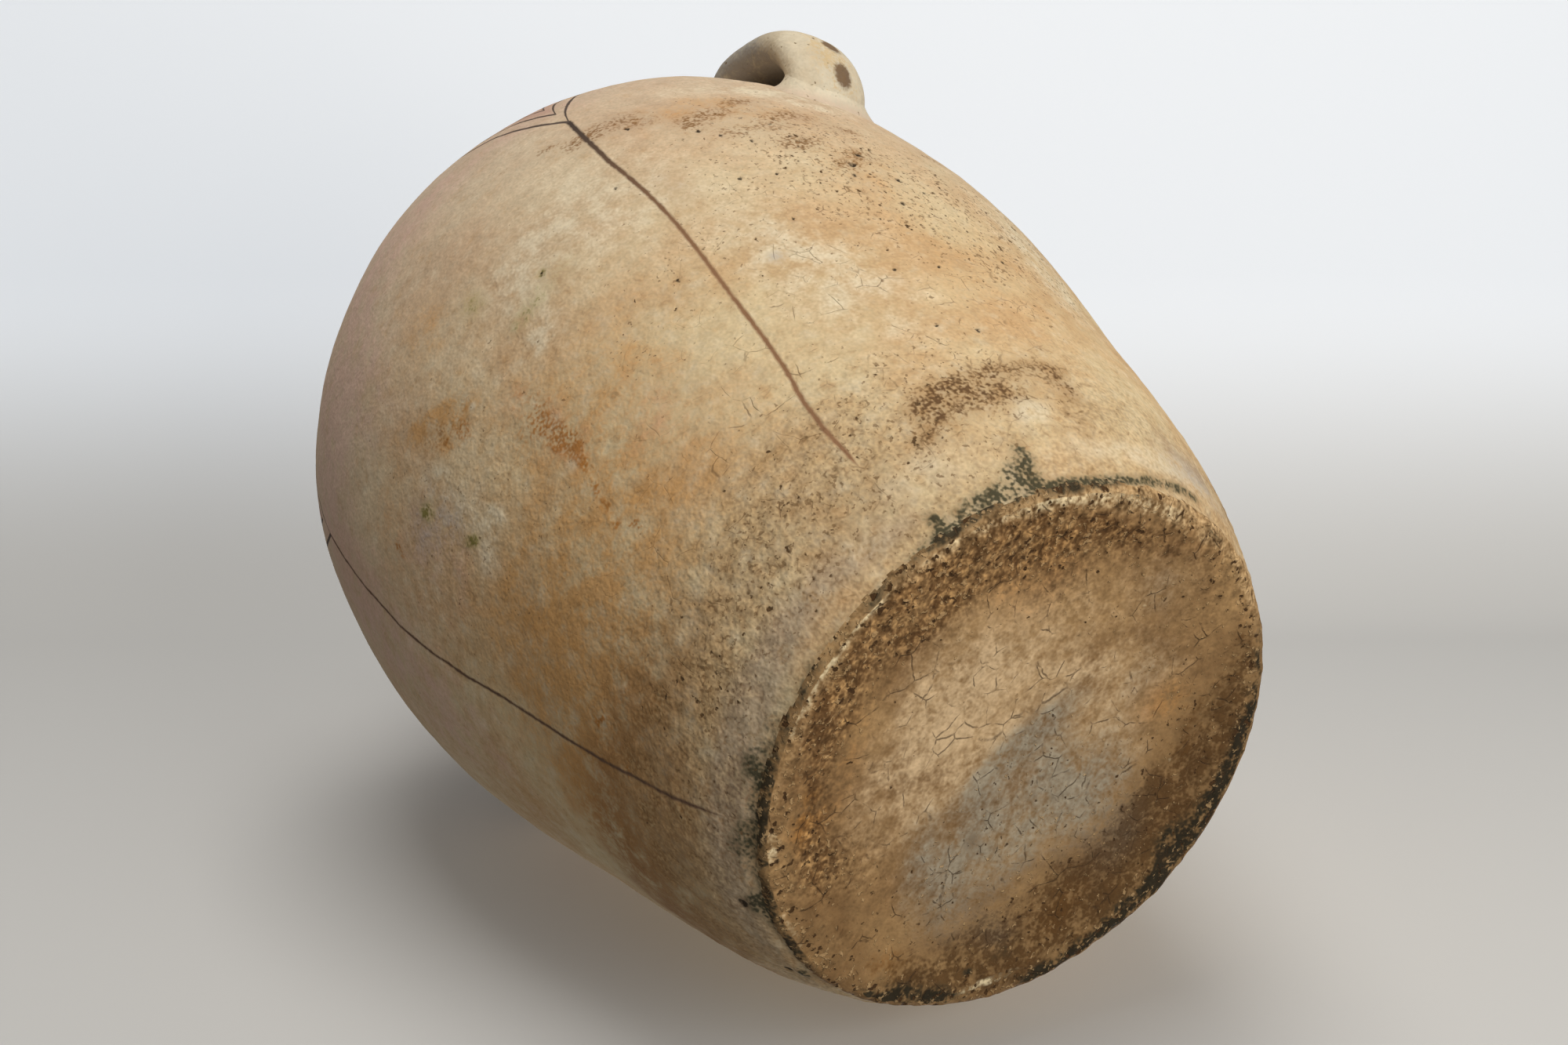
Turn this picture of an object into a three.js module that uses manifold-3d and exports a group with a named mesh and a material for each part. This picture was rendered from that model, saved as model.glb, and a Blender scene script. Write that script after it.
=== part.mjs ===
// A hand-built water jar of slipped terracotta, in millimetres, standing upright with +Z up.
// The origin is the centre of its foot, and its two loop handles stand on +X and -X.
// The wall is made of coils: each course laps over the one below it on a slanting joint, and each
// handle has a tenon at either end that goes through the wall, with soft clay luted round its root.

import * as THREE from 'three';
import { mergeVertices } from 'three/addons/utils/BufferGeometryUtils.js';
import Module from 'manifold-3d';

const wasm = await Module();
wasm.setup();

// The outer outline. The foot, the belly and the neck have radii of their own, and the stations
// between them are flared out from the foot or the neck, or set in from the belly.
const FOOT_RADIUS = 110;
const HEEL_FLARE = 21;
const LOWER_WALL_INSET = 33.5;
const UPPER_WALL_INSET = 8.5;
const BELLY_RADIUS = 192.5;
const SHOULDER_INSET = 5.5;
const CROWN_INSET = 43.5;
const NECK_RADIUS = 64;
const NECK_ROOT_FLARE = 20;
const LIP_FLARE = 12;

// The rise of each station above the one below it.
const HEEL_RISE = 42;
const LOWER_WALL_RISE = 88;
const UPPER_WALL_RISE = 90;
const BELLY_RISE = 75;
const SHOULDER_RISE = 60;
const CROWN_RISE = 75;
const NECK_ROOT_RISE = 48;
const NECK_RISE = 24;
const LIP_RISE = 20;

// The wall and its joints. A joint climbs from the outer face to the inner one.
const WALL_THICKNESS = 11;
const JOINT_CLIMB = 9;
const JOINT_GAP = 0.3;

// The foot: a ring that the slab is set into from above, like a plug.
const FOOT_COIL_HEIGHT = 13;
const SLAB_THICKNESS = 13;
const DISH_DEPTH = 7;
const DISH_EDGE_HEIGHT = 2;
const SEAT_LEDGE = 3;
const SEAT_TAPER = 8;

// Lengths of coil, measured along the outline.
const ROOT_COURSE_LENGTH = 50;
const NECK_ROOT_COIL_LENGTH = 30;
const RIM_COIL_LENGTH = 16;

// The handles: where the roots sit along the outline, and the strap.
const LOWER_ROOT_RISE = 5;
const HANDLE_SPAN = 86;
const HANDLE_STANDOFF = 18.5;
const STRAP_WIDTH = 38;
const STRAP_THICKNESS = 20;
const STRAP_LEAD = 12;
const STRAP_LEAN = 9;
const TENON_WIDTH = 22;
const TENON_THICKNESS = 11;
const TENON_GRIP = 7;
const TENON_SETBACK = 1;
const LUTING_SPREAD = 10;
const LUTING_RISE = 11;
const LUTING_LIP = 1.5;

// Fineness of the faceted surfaces.
const TURN_SEGMENTS = 40;
const OUTLINE_STEP = 22;
const DISH_STEPS = 4;
const LIP_STEPS = 6;
const STRAP_STEPS = 20;
const ELLIPSE_SEGMENTS = 7;
const LUTING_SEGMENTS = 18;
const LUTING_STEPS = 3;
const ARC_LENGTH_DIVISIONS = 2000;
const BISECTION_STEPS = 40;

const slippedClay = new THREE.MeshStandardMaterial({ color: 0xd8c2a2, roughness: 0.9, metalness: 0 });
const bareClay = new THREE.MeshStandardMaterial({ color: 0xc0a183, roughness: 0.95, metalness: 0 });
const handleClay = new THREE.MeshStandardMaterial({ color: 0xdccaae, roughness: 0.9, metalness: 0 });

// The outline as one smooth curve in the plane of X and Z, from the foot to the lip.
const stations = [
  [FOOT_RADIUS, 0],
  [FOOT_RADIUS + HEEL_FLARE, HEEL_RISE],
  [BELLY_RADIUS - LOWER_WALL_INSET, LOWER_WALL_RISE],
  [BELLY_RADIUS - UPPER_WALL_INSET, UPPER_WALL_RISE],
  [BELLY_RADIUS, BELLY_RISE],
  [BELLY_RADIUS - SHOULDER_INSET, SHOULDER_RISE],
  [BELLY_RADIUS - CROWN_INSET, CROWN_RISE],
  [NECK_RADIUS + NECK_ROOT_FLARE, NECK_ROOT_RISE],
  [NECK_RADIUS, NECK_RISE],
  [NECK_RADIUS + LIP_FLARE, LIP_RISE],
];
const stationPoints = [];
let stationHeight = 0;
for (const [radius, rise] of stations) {
  stationHeight += rise;
  stationPoints.push(new THREE.Vector3(radius, 0, stationHeight));
}
const outline = new THREE.CatmullRomCurve3(stationPoints, false, 'centripetal');
outline.arcLengthDivisions = ARC_LENGTH_DIVISIONS;
const outlineLength = outline.getLength();
const bellyHeight = stationPoints[4].z;
const neckRootHeight = stationPoints[7].z;

// Length along the outline, from the foot, at which it reaches a height.
function lengthAtHeight(height) {
  let low = 0;
  let high = 1;
  for (let step = 0; step < BISECTION_STEPS; step += 1) {
    const middle = (low + high) / 2;
    if (outline.getPointAt(middle).z < height) low = middle;
    else high = middle;
  }
  return low * outlineLength;
}

// The wall's outer point and outward normal at a length along the outline.
function outerFace(length) {
  const share = THREE.MathUtils.clamp(length / outlineLength, 0, 1);
  const point = outline.getPointAt(share);
  const tangent = outline.getTangentAt(share);
  return { point, normal: new THREE.Vector3(tangent.z, 0, -tangent.x) };
}

// A point of the wall's section, as radius and height, at a depth under the outer face.
function wallPoint(length, depth) {
  const { point, normal } = outerFace(length);
  point.addScaledVector(normal, -depth);
  return new THREE.Vector2(point.x, point.z);
}

// Points of the wall's section from one length to another, all at one depth.
function wallRun(fromLength, toLength, depth) {
  const count = Math.max(1, Math.ceil(Math.abs(toLength - fromLength) / OUTLINE_STEP));
  const points = [];
  for (let step = 0; step <= count; step += 1) {
    points.push(wallPoint(THREE.MathUtils.lerp(fromLength, toLength, step / count), depth));
  }
  return points;
}

// A section of radius and height points, turned about the jar's axis.
function turned(points) {
  return new THREE.LatheGeometry(points, TURN_SEGMENTS).rotateX(Math.PI / 2);
}

// The same for a section that closes on itself, away from the axis.
function turnedRing(points) {
  return turned([...points, points[0].clone()]);
}

// One course of the wall between two joints.
function courseRing(lowJoint, highJoint) {
  const low = lowJoint + JOINT_GAP;
  return turnedRing([
    ...wallRun(low, highJoint, 0),
    ...wallRun(highJoint + JOINT_CLIMB, low + JOINT_CLIMB, WALL_THICKNESS),
  ]);
}

// A closed geometry as a solid for cutting and joining, and back again.
function solidFrom(geometry) {
  const bare = geometry.clone();
  bare.deleteAttribute('normal');
  bare.deleteAttribute('uv');
  const merged = mergeVertices(bare);
  const vertProperties = new Float32Array(merged.attributes.position.array);
  const triVerts = new Uint32Array(merged.index.array);
  const mesh = new wasm.Mesh({ numProp: 3, vertProperties, triVerts });
  mesh.merge();
  return new wasm.Manifold(mesh);
}

function geometryFrom(solid) {
  const mesh = solid.getMesh();
  const geometry = new THREE.BufferGeometry();
  geometry.setAttribute('position', new THREE.BufferAttribute(new Float32Array(mesh.vertProperties), 3));
  geometry.setIndex(new THREE.BufferAttribute(new Uint32Array(mesh.triVerts), 1));
  geometry.computeVertexNormals();
  return geometry;
}

// Where the coils meet, as lengths along the outline.
const footJoint = lengthAtHeight(FOOT_COIL_HEIGHT);
const lowerRoot = lengthAtHeight(bellyHeight) + LOWER_ROOT_RISE;
const upperRoot = lowerRoot + HANDLE_SPAN;
const bellyLow = lowerRoot - ROOT_COURSE_LENGTH / 2;
const bellyHigh = lowerRoot + ROOT_COURSE_LENGTH / 2;
const shoulderLow = upperRoot - ROOT_COURSE_LENGTH / 2;
const shoulderHigh = upperRoot + ROOT_COURSE_LENGTH / 2;
const neckRootLow = lengthAtHeight(neckRootHeight) - NECK_ROOT_COIL_LENGTH / 2;
const neckRootHigh = neckRootLow + NECK_ROOT_COIL_LENGTH;
const rimJoint = outlineLength - RIM_COIL_LENGTH;

const jar = new THREE.Group();

function addPiece(name, geometry, material, parent = jar) {
  const mesh = new THREE.Mesh(geometry, material);
  mesh.name = name;
  parent.add(mesh);
}

// The foot coil and the slab share one slanting seat, wider at the top.
const footCoilInner = wallPoint(footJoint + JOINT_CLIMB, WALL_THICKNESS);
const slabTop = DISH_DEPTH + SLAB_THICKNESS;
const seatTopRadius = footCoilInner.x - SEAT_LEDGE;
const seatBottomRadius = seatTopRadius - SEAT_TAPER;

function seatRadius(height) {
  return THREE.MathUtils.lerp(seatBottomRadius, seatTopRadius, height / slabTop);
}

function footCoil() {
  return turnedRing([
    new THREE.Vector2(seatBottomRadius, 0),
    ...wallRun(0, footJoint, 0),
    footCoilInner,
    new THREE.Vector2(seatTopRadius, slabTop),
  ]);
}

// The slab's underside is a shallow dish: a parabola from its middle down to its edge.
function baseSlab() {
  const edgeRadius = seatRadius(DISH_EDGE_HEIGHT) - JOINT_GAP;
  const points = [];
  for (let step = 0; step <= DISH_STEPS; step += 1) {
    const share = step / DISH_STEPS;
    const height = DISH_DEPTH - (DISH_DEPTH - DISH_EDGE_HEIGHT) * share ** 2;
    points.push(new THREE.Vector2(edgeRadius * share, height));
  }
  points.push(new THREE.Vector2(seatTopRadius - JOINT_GAP, slabTop));
  points.push(new THREE.Vector2(0, slabTop));
  return turned(points);
}

addPiece('base_slab', baseSlab(), bareClay);
addPiece('foot_coil', footCoil(), bareClay);

// The four coils of the lower wall share the length between the foot and the belly evenly.
const lowerCourses = ['heel_course', 'lower_wall_course', 'middle_wall_course', 'upper_wall_course'];
const lowerJoints = [footJoint];
lowerCourses.forEach((name, index) => {
  const share = (index + 1) / lowerCourses.length;
  lowerJoints.push(THREE.MathUtils.lerp(footJoint, bellyLow, share));
  addPiece(name, courseRing(lowerJoints[index], lowerJoints[index + 1]), slippedClay);
});

// A handle root: its place on the wall, with the local axes across the strap, along the wall and outward.
function handleRoot(length) {
  const { point, normal } = outerFace(length);
  const across = new THREE.Vector3(0, 1, 0);
  const along = new THREE.Vector3().crossVectors(normal, across);
  const frame = new THREE.Matrix4().makeBasis(across, along, normal).setPosition(point);
  return { point, normal, frame };
}

const roots = { lower: handleRoot(lowerRoot), upper: handleRoot(upperRoot) };

// A point at a height over a root, moved up along the wall.
function besideRoot(root, height, climb) {
  const upward = new THREE.Vector3(-root.normal.z, 0, root.normal.x);
  return root.point.clone().addScaledVector(root.normal, height).addScaledVector(upward, climb);
}

// A tenon, or its hole when a gap is given, from a depth inside the wall to a height outside it.
function tenon(root, depth, height, gap) {
  const shape = new THREE.Shape();
  shape.absellipse(0, 0, TENON_WIDTH / 2 + gap, TENON_THICKNESS / 2 + gap, 0, 2 * Math.PI);
  const options = { depth: depth + height, bevelEnabled: false, curveSegments: ELLIPSE_SEGMENTS };
  const geometry = new THREE.ExtrudeGeometry(shape, options).translate(0, 0, -depth);
  return solidFrom(geometry.applyMatrix4(root.frame));
}

// A root course is pierced for the tenon of each handle.
function piercedCourse(lowJoint, highJoint, root) {
  const reach = 2 * WALL_THICKNESS;
  const hole = tenon(root, reach, WALL_THICKNESS, JOINT_GAP);
  const ring = solidFrom(courseRing(lowJoint, highJoint));
  return geometryFrom(ring.subtract(hole).subtract(hole.rotate([0, 0, 180])));
}

addPiece('belly_course', piercedCourse(bellyLow, bellyHigh, roots.lower), slippedClay);
addPiece('lower_shoulder_course', courseRing(bellyHigh, shoulderLow), slippedClay);
addPiece('upper_shoulder_course', piercedCourse(shoulderLow, shoulderHigh, roots.upper), slippedClay);
addPiece('crown_course', courseRing(shoulderHigh, neckRootLow), slippedClay);
addPiece('neck_root_coil', courseRing(neckRootLow, neckRootHigh), slippedClay);
addPiece('neck_collar', courseRing(neckRootHigh, rimJoint), slippedClay);

// The rim coil ends in a half-round lip, as thick as the wall.
function mouthRim() {
  const low = rimJoint + JOINT_GAP;
  const { point, normal } = outerFace(outlineLength);
  const upward = new THREE.Vector3(-normal.z, 0, normal.x);
  const lipRadius = WALL_THICKNESS / 2;
  const centre = point.clone().addScaledVector(normal, -lipRadius);
  const lip = [];
  for (let step = 1; step < LIP_STEPS; step += 1) {
    const angle = (Math.PI * step) / LIP_STEPS;
    const edge = centre.clone();
    edge.addScaledVector(normal, lipRadius * Math.cos(angle));
    edge.addScaledVector(upward, lipRadius * Math.sin(angle));
    lip.push(new THREE.Vector2(edge.x, edge.z));
  }
  return turnedRing([
    ...wallRun(low, outlineLength, 0),
    ...lip,
    ...wallRun(outlineLength, low + JOINT_CLIMB, WALL_THICKNESS),
  ]);
}

addPiece('mouth_rim', mouthRim(), slippedClay);

// The space inside the wall's outer face, a joint gap larger, which trims what is luted to the wall.
// It is faceted as the courses are, from joint to joint.
const joints = [
  0, ...lowerJoints, bellyHigh, shoulderLow, shoulderHigh, neckRootLow, neckRootHigh, rimJoint,
];
const jarSpace = solidFrom(turned([
  new THREE.Vector2(0, -JOINT_GAP),
  ...joints.flatMap((low, index) => {
    const high = joints[index + 1] ?? outlineLength;
    return wallRun(low + JOINT_GAP, high, -JOINT_GAP);
  }),
  new THREE.Vector2(0, stationHeight),
]));

// The strap's middle line: out of the lower root, leaning over the crown and back into the upper root.
const crownRadius = BELLY_RADIUS + HANDLE_STANDOFF;
const crownHeight = (roots.lower.point.z + roots.upper.point.z) / 2;
const strapLine = new THREE.CatmullRomCurve3([
  besideRoot(roots.lower, -WALL_THICKNESS, 0),
  besideRoot(roots.lower, STRAP_LEAD, STRAP_LEAN),
  new THREE.Vector3(crownRadius, 0, crownHeight),
  besideRoot(roots.upper, STRAP_LEAD, -STRAP_LEAN),
  besideRoot(roots.upper, -WALL_THICKNESS, 0),
]);

// The strap as an oval rod along its middle line, larger all round by a gap.
function strap(gap) {
  const shape = new THREE.Shape();
  shape.absellipse(0, 0, STRAP_WIDTH / 2 + gap, STRAP_THICKNESS / 2 + gap, 0, 2 * Math.PI);
  return solidFrom(new THREE.ExtrudeGeometry(shape, {
    steps: STRAP_STEPS,
    curveSegments: ELLIPSE_SEGMENTS,
    bevelEnabled: false,
    extrudePath: strapLine,
  }));
}

// A handle: the strap trimmed to the wall, with a tenon at each end.
function handle() {
  const depth = WALL_THICKNESS - TENON_SETBACK;
  return geometryFrom(strap(0)
    .subtract(jarSpace)
    .add(tenon(roots.lower, depth, TENON_GRIP, 0))
    .add(tenon(roots.upper, depth, TENON_GRIP, 0)));
}

// A collar of clay round a root: an oval skirt that sweeps in from the wall to the strap.
function luting(root) {
  const edge = STRAP_THICKNESS / 2 + LUTING_SPREAD;
  const lip = STRAP_THICKNESS / 2 + LUTING_LIP;
  const points = [new THREE.Vector2(0, -WALL_THICKNESS), new THREE.Vector2(edge, -WALL_THICKNESS)];
  for (let step = 0; step <= LUTING_STEPS; step += 1) {
    const angle = (Math.PI / 2) * (step / LUTING_STEPS);
    points.push(new THREE.Vector2(
      edge - (edge - lip) * Math.sin(angle),
      LUTING_RISE * (1 - Math.cos(angle)),
    ));
  }
  points.push(new THREE.Vector2(0, LUTING_RISE));
  const skirt = new THREE.LatheGeometry(points, LUTING_SEGMENTS).rotateX(Math.PI / 2);
  const position = skirt.attributes.position;
  for (let index = 0; index < position.count; index += 1) {
    const x = position.getX(index);
    const radius = Math.hypot(x, position.getY(index));
    const widening = (STRAP_WIDTH - STRAP_THICKNESS) / 2;
    if (radius > 0) position.setX(index, x * (1 + widening / radius));
  }
  skirt.applyMatrix4(root.frame);
  return geometryFrom(solidFrom(skirt)
    .subtract(jarSpace)
    .subtract(strap(JOINT_GAP))
    .subtract(tenon(root, WALL_THICKNESS, TENON_GRIP, JOINT_GAP)));
}

for (const [side, turn] of [['right', 0], ['left', Math.PI]]) {
  const group = new THREE.Group();
  group.rotation.z = turn;
  jar.add(group);
  addPiece(`handle_${side}`, handle(), handleClay, group);
  addPiece(`handle_${side}_lower_luting`, luting(roots.lower), handleClay, group);
  addPiece(`handle_${side}_upper_luting`, luting(roots.upper), handleClay, group);
}

export default jar;
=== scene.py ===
"""The looks of a hand-built water jar of slipped terracotta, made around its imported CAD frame.

The jar stands upright in the frame, with its handles on +X and -X. In the photograph it lies on its
side, so the camera and the floor are placed around the upright jar as they were around the real one.
Sizes are in millimetres, and MM turns them into metres where a mesh or a pattern is made.
"""

import bpy
import numpy as np
from mathutils import Matrix, Vector


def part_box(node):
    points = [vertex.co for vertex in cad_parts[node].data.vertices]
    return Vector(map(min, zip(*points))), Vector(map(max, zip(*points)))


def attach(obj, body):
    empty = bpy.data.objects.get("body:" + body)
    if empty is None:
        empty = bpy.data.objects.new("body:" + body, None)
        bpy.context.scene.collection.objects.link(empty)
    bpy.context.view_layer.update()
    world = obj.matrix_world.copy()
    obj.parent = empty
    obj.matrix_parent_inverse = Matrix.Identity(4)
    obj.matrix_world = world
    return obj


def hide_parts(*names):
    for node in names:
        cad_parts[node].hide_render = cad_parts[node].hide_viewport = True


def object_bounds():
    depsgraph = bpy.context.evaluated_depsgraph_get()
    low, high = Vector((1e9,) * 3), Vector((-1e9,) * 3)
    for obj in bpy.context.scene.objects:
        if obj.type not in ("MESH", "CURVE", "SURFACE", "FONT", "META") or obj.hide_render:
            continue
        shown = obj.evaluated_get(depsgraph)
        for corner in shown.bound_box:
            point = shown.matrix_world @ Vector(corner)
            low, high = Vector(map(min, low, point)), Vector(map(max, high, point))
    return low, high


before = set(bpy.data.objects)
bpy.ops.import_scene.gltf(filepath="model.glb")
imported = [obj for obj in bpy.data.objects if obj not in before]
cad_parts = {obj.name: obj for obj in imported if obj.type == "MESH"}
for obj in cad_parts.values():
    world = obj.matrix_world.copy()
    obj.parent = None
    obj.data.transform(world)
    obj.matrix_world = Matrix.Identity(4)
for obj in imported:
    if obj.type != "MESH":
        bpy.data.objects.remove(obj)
cad_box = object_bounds()


# The base slab is a disc of coarse clay, beaten out by hand and set into the foot ring like a plug.
# Its underside is a shallow dish that was never slipped: bare, gritty and cracked by drying, with
# damp stains, a ring of brown grime along its edge and mould on the side that stood in the wet.
# The dark damp stains on that side, towards the floor, are partly painted shade from the floor.

MM = 0.001
COLUMNS = 720
FOOT_RADIUS = 110.0
DISH_RADIUS = 100.5
DISH_DEPTH = 7.0
DISH_EDGE_HEIGHT = 2.0
DISH_ROW = 1.1
RIM_ROW = 0.8
SLAB_TOP_ROW = 9.0
POLE_RADIUS = 0.8
LATTICE_KEY = np.array([127.1, 311.7, 74.7])
LATTICE_SPREAD = 43758.5453

azimuth = np.linspace(0.0, 2 * np.pi, COLUMNS, endpoint=False)


def lattice_noise(points, cell):
    """Smooth noise from -1 to 1. Each corner of a lattice of that cell size has a random value, and a
    point takes the values of the eight corners round it, blended along each axis by 3t^2 - 2t^3."""
    scaled = points / cell
    corner = np.floor(scaled)
    share = scaled - corner
    share = share * share * (3 - 2 * share)
    total = 0.0
    for step in np.ndindex(2, 2, 2):
        mixed = np.sin((corner + step) @ LATTICE_KEY) * LATTICE_SPREAD
        weight = np.prod(np.where(step, share, 1 - share), axis=-1)
        total = total + weight * (mixed - np.floor(mixed))
    return 2 * total - 1


def clay_lumps(points, layers):
    """Adds up lattice noises, each given by its height and its cell size in mm."""
    return sum(height * lattice_noise(points, cell) for height, cell in layers)


def soft_step(low, high, value):
    """Rises from 0 at low to 1 at high by 3t^2 - 2t^3."""
    share = np.clip((value - low) / (high - low), 0, 1)
    return share * share * (3 - 2 * share)


def soft_ovals(offset, ovals):
    """Adds up soft ovals, each given by its centre, half width, half height, turn in degrees and
    strength. offset gives the distances u, v to a centre, and an oval is strength exp(-u^2 - v^2)."""
    total = 0.0
    for first, second, half_width, half_height, turn, strength in ovals:
        across, along = offset(first, second)
        cosine, sine = np.cos(np.radians(turn)), np.sin(np.radians(turn))
        u = (across * cosine + along * sine) / half_width
        v = (along * cosine - across * sine) / half_height
        total = total + strength * np.exp(-u * u - v * v)
    return np.clip(total, 0, 1)


def ring_points(radius, height):
    """Points of rings round the jar's axis, from arrays of radius and height, one row to a ring."""
    radius, height = np.broadcast_arrays(radius, height, subok=True)
    return np.stack([radius * np.cos(azimuth), radius * np.sin(azimuth), height * np.ones(COLUMNS)],
                    axis=-1)


def grid_quads(rows, columns, closed):
    """Corners of the quads of a grid whose columns run round and close. Its rows close too if asked.
    A quad faces along the way round crossed with the way from row to row."""
    row = np.arange(rows if closed else rows - 1)[:, None]
    column = np.arange(columns)[None, :]
    next_row = (row + 1) % rows
    next_column = (column + 1) % columns
    corners = [row * columns + column, row * columns + next_column,
               next_row * columns + next_column, next_row * columns + column]
    return np.stack(np.broadcast_arrays(*corners), axis=-1).reshape(-1, 4)


def pole_fan(pole, ring):
    """Triangles from a pole to a ring of corners, in the order that the ring runs."""
    return np.stack([np.full(len(ring), pole), ring, np.roll(ring, -1)], axis=-1)


def make_mesh(name, points, faces, stains, shading=None):
    """A smooth mesh from points in mm, arrays of face corners and named values at the points. Where all
    corners of a face are given normals, it is shaded by them, so that it runs on in the next piece."""
    corners = np.concatenate([face.ravel() for face in faces])
    sizes = np.concatenate([np.full(len(face), face.shape[1]) for face in faces])
    mesh = bpy.data.meshes.new(name)
    mesh.vertices.add(len(points))
    mesh.vertices.foreach_set("co", (points * MM).astype(np.float32).ravel())
    mesh.loops.add(len(corners))
    mesh.loops.foreach_set("vertex_index", corners.astype(np.int32))
    mesh.polygons.add(len(sizes))
    mesh.polygons.foreach_set("loop_start", (np.cumsum(sizes) - sizes).astype(np.int32))
    mesh.update(calc_edges=True)
    mesh.shade_smooth()
    for stain, values in stains.items():
        attribute = mesh.attributes.new(stain, "FLOAT", "POINT")
        attribute.data.foreach_set("value", values.astype(np.float32).ravel())
    if shading is not None:
        given = np.linalg.norm(shading, axis=-1) > 0
        normals = [shading[face] * given[face].all(axis=1)[:, None, None] for face in faces]
        mesh.normals_split_custom_set(np.concatenate([normal.reshape(-1, 3) for normal in normals]))
    return mesh


def grid_shading(grid):
    """Normals of a grid of rings: the way round crossed with the way from ring to ring."""
    way_round = np.roll(grid, -1, axis=1) - np.roll(grid, 1, axis=1)
    normal = np.cross(way_round, np.gradient(grid, axis=0))
    return normal / np.linalg.norm(normal, axis=-1, keepdims=True)


def add_piece(node, mesh, materials):
    """Puts a mesh into the scene as the fired clay that stands for a CAD node."""
    piece = bpy.data.objects.new(f"{node}_fired", mesh)
    bpy.context.collection.objects.link(piece)
    for material in materials:
        mesh.materials.append(material)
    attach(piece, "root")
    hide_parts(node)
    return piece


def linear(colour):
    """A colour written as sRGB hex digits, as the linear red, green, blue and alpha of a shader."""
    channels = np.array([int(colour[index:index + 2], 16) for index in (1, 3, 5)]) / 255
    bright = ((channels + 0.055) / 1.055) ** 2.4
    return (*np.where(channels <= 0.04045, channels / 12.92, bright).tolist(), 1.0)


def add_node(tree, kind, inputs, output=0, **settings):
    """Adds a shader node, sets its properties, fills or links its inputs, and returns one output."""
    node = tree.nodes.new(f"ShaderNode{kind}")
    for setting, value in settings.items():
        setattr(node, setting, value)
    for socket, value in inputs.items():
        if isinstance(value, bpy.types.NodeSocket):
            tree.links.new(value, node.inputs[socket])
        else:
            node.inputs[socket].default_value = value
    return node.outputs[output]


CLAY_ROUGHNESS = 0.92
CLAY_SPECULAR = 0.15


def start_clay(name):
    """A new dry clay material: its node tree, its surface shader and the Object coordinates.
    Fired clay is dull all over, so its roughness is high and its highlights are weak."""
    material = bpy.data.materials.new(name)
    material.use_nodes = True
    tree = material.node_tree
    surface = tree.nodes["Principled BSDF"]
    surface.inputs["Roughness"].default_value = CLAY_ROUGHNESS
    surface.inputs["Specular IOR Level"].default_value = CLAY_SPECULAR
    place = add_node(tree, "TexCoord", {}, output="Object")
    return material, tree, surface, place


def finish_clay(tree, surface, colour, raised, height, strength):
    """Gives a clay its colour, and bumps from a raised pattern, by their height in mm and strength."""
    bump = add_node(tree, "Bump", {"Height": raised, "Strength": strength, "Distance": height * MM})
    tree.links.new(colour, surface.inputs["Base Color"])
    tree.links.new(bump, surface.inputs["Normal"])


def add_noise(tree, place, size, detail, roughness, strength):
    """Noise of a feature size in mm, spread so that it runs from about -1 to 1 times a strength. Detail
    stops at features of about 1 mm, since finer ones than a pixel only blur the rest."""
    noise = add_node(tree, "TexNoise", {"Vector": place, "Scale": 1 / (size * MM), "Detail": detail,
                                        "Roughness": roughness})
    return add_node(tree, "MapRange", {"Value": noise, "From Min": 0.25, "From Max": 0.75,
                                       "To Min": -strength, "To Max": strength}, clamp=False)


def add_up(tree, total, parts):
    """A value plus other values, each times its own share."""
    for value, share in parts:
        total = add_node(tree, "Math", {0: value, 1: share, 2: total}, operation="MULTIPLY_ADD")
    return total


def lay_over(tree, colour, coats):
    """Lays coats of colour over a colour in turn, each by a share from 0 to 1."""
    for share, coat in coats:
        colour = add_node(tree, "Mix", {0: share, 6: colour, 7: coat}, output=2, data_type="RGBA")
    return colour


def stain_over(tree, colour, cloud, grain, layers):
    """Lays stains over a colour. Each layer has the attribute that says where it is, its colour, how
    much clouds and grain break it up, where it starts and is full, and how much it covers when full."""
    for stain, tint, cloudy, grainy, start, full, cover in layers:
        where = add_node(tree, "Attribute", {}, output="Fac", attribute_name=stain)
        broken = add_up(tree, 1.0, [(cloud, cloudy), (grain, grainy)])
        amount = add_node(tree, "Math", {0: where, 1: broken}, operation="MULTIPLY")
        share = add_node(tree, "MapRange", {"Value": amount, "From Min": start, "From Max": full,
                                            "To Max": cover}, interpolation_type="SMOOTHSTEP")
        colour = lay_over(tree, colour, [(share, linear(tint))])
    return colour


def shade_by(tree, colour, noises):
    """A colour made lighter and darker by noises, each by a share of its brightness."""
    shade = add_up(tree, 1.0, noises)
    return add_node(tree, "Mix", {0: 1.0, 6: colour, 7: shade}, output=2, data_type="RGBA",
                    blend_type="MULTIPLY")


FLECK_CROWDING = 0.6
FLECK_EDGE = 0.25


def add_flecks(tree, place, size, level, where):
    """Flecks with uneven edges, where noise of a size in mm rises over a level. where runs from 0 to 1
    and brings the level down, so that flecks crowd there."""
    noise = add_noise(tree, place, size, 2.0, 0.5, 1.0)
    lifted = add_up(tree, noise, [(where, FLECK_CROWDING)])
    return add_node(tree, "MapRange", {"Value": lifted, "From Min": level, "From Max": level + FLECK_EDGE})


CRACK_PUSH = 0.35
CRACK_CORE = 0.3
CRACK_FADE = 0.4


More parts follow.
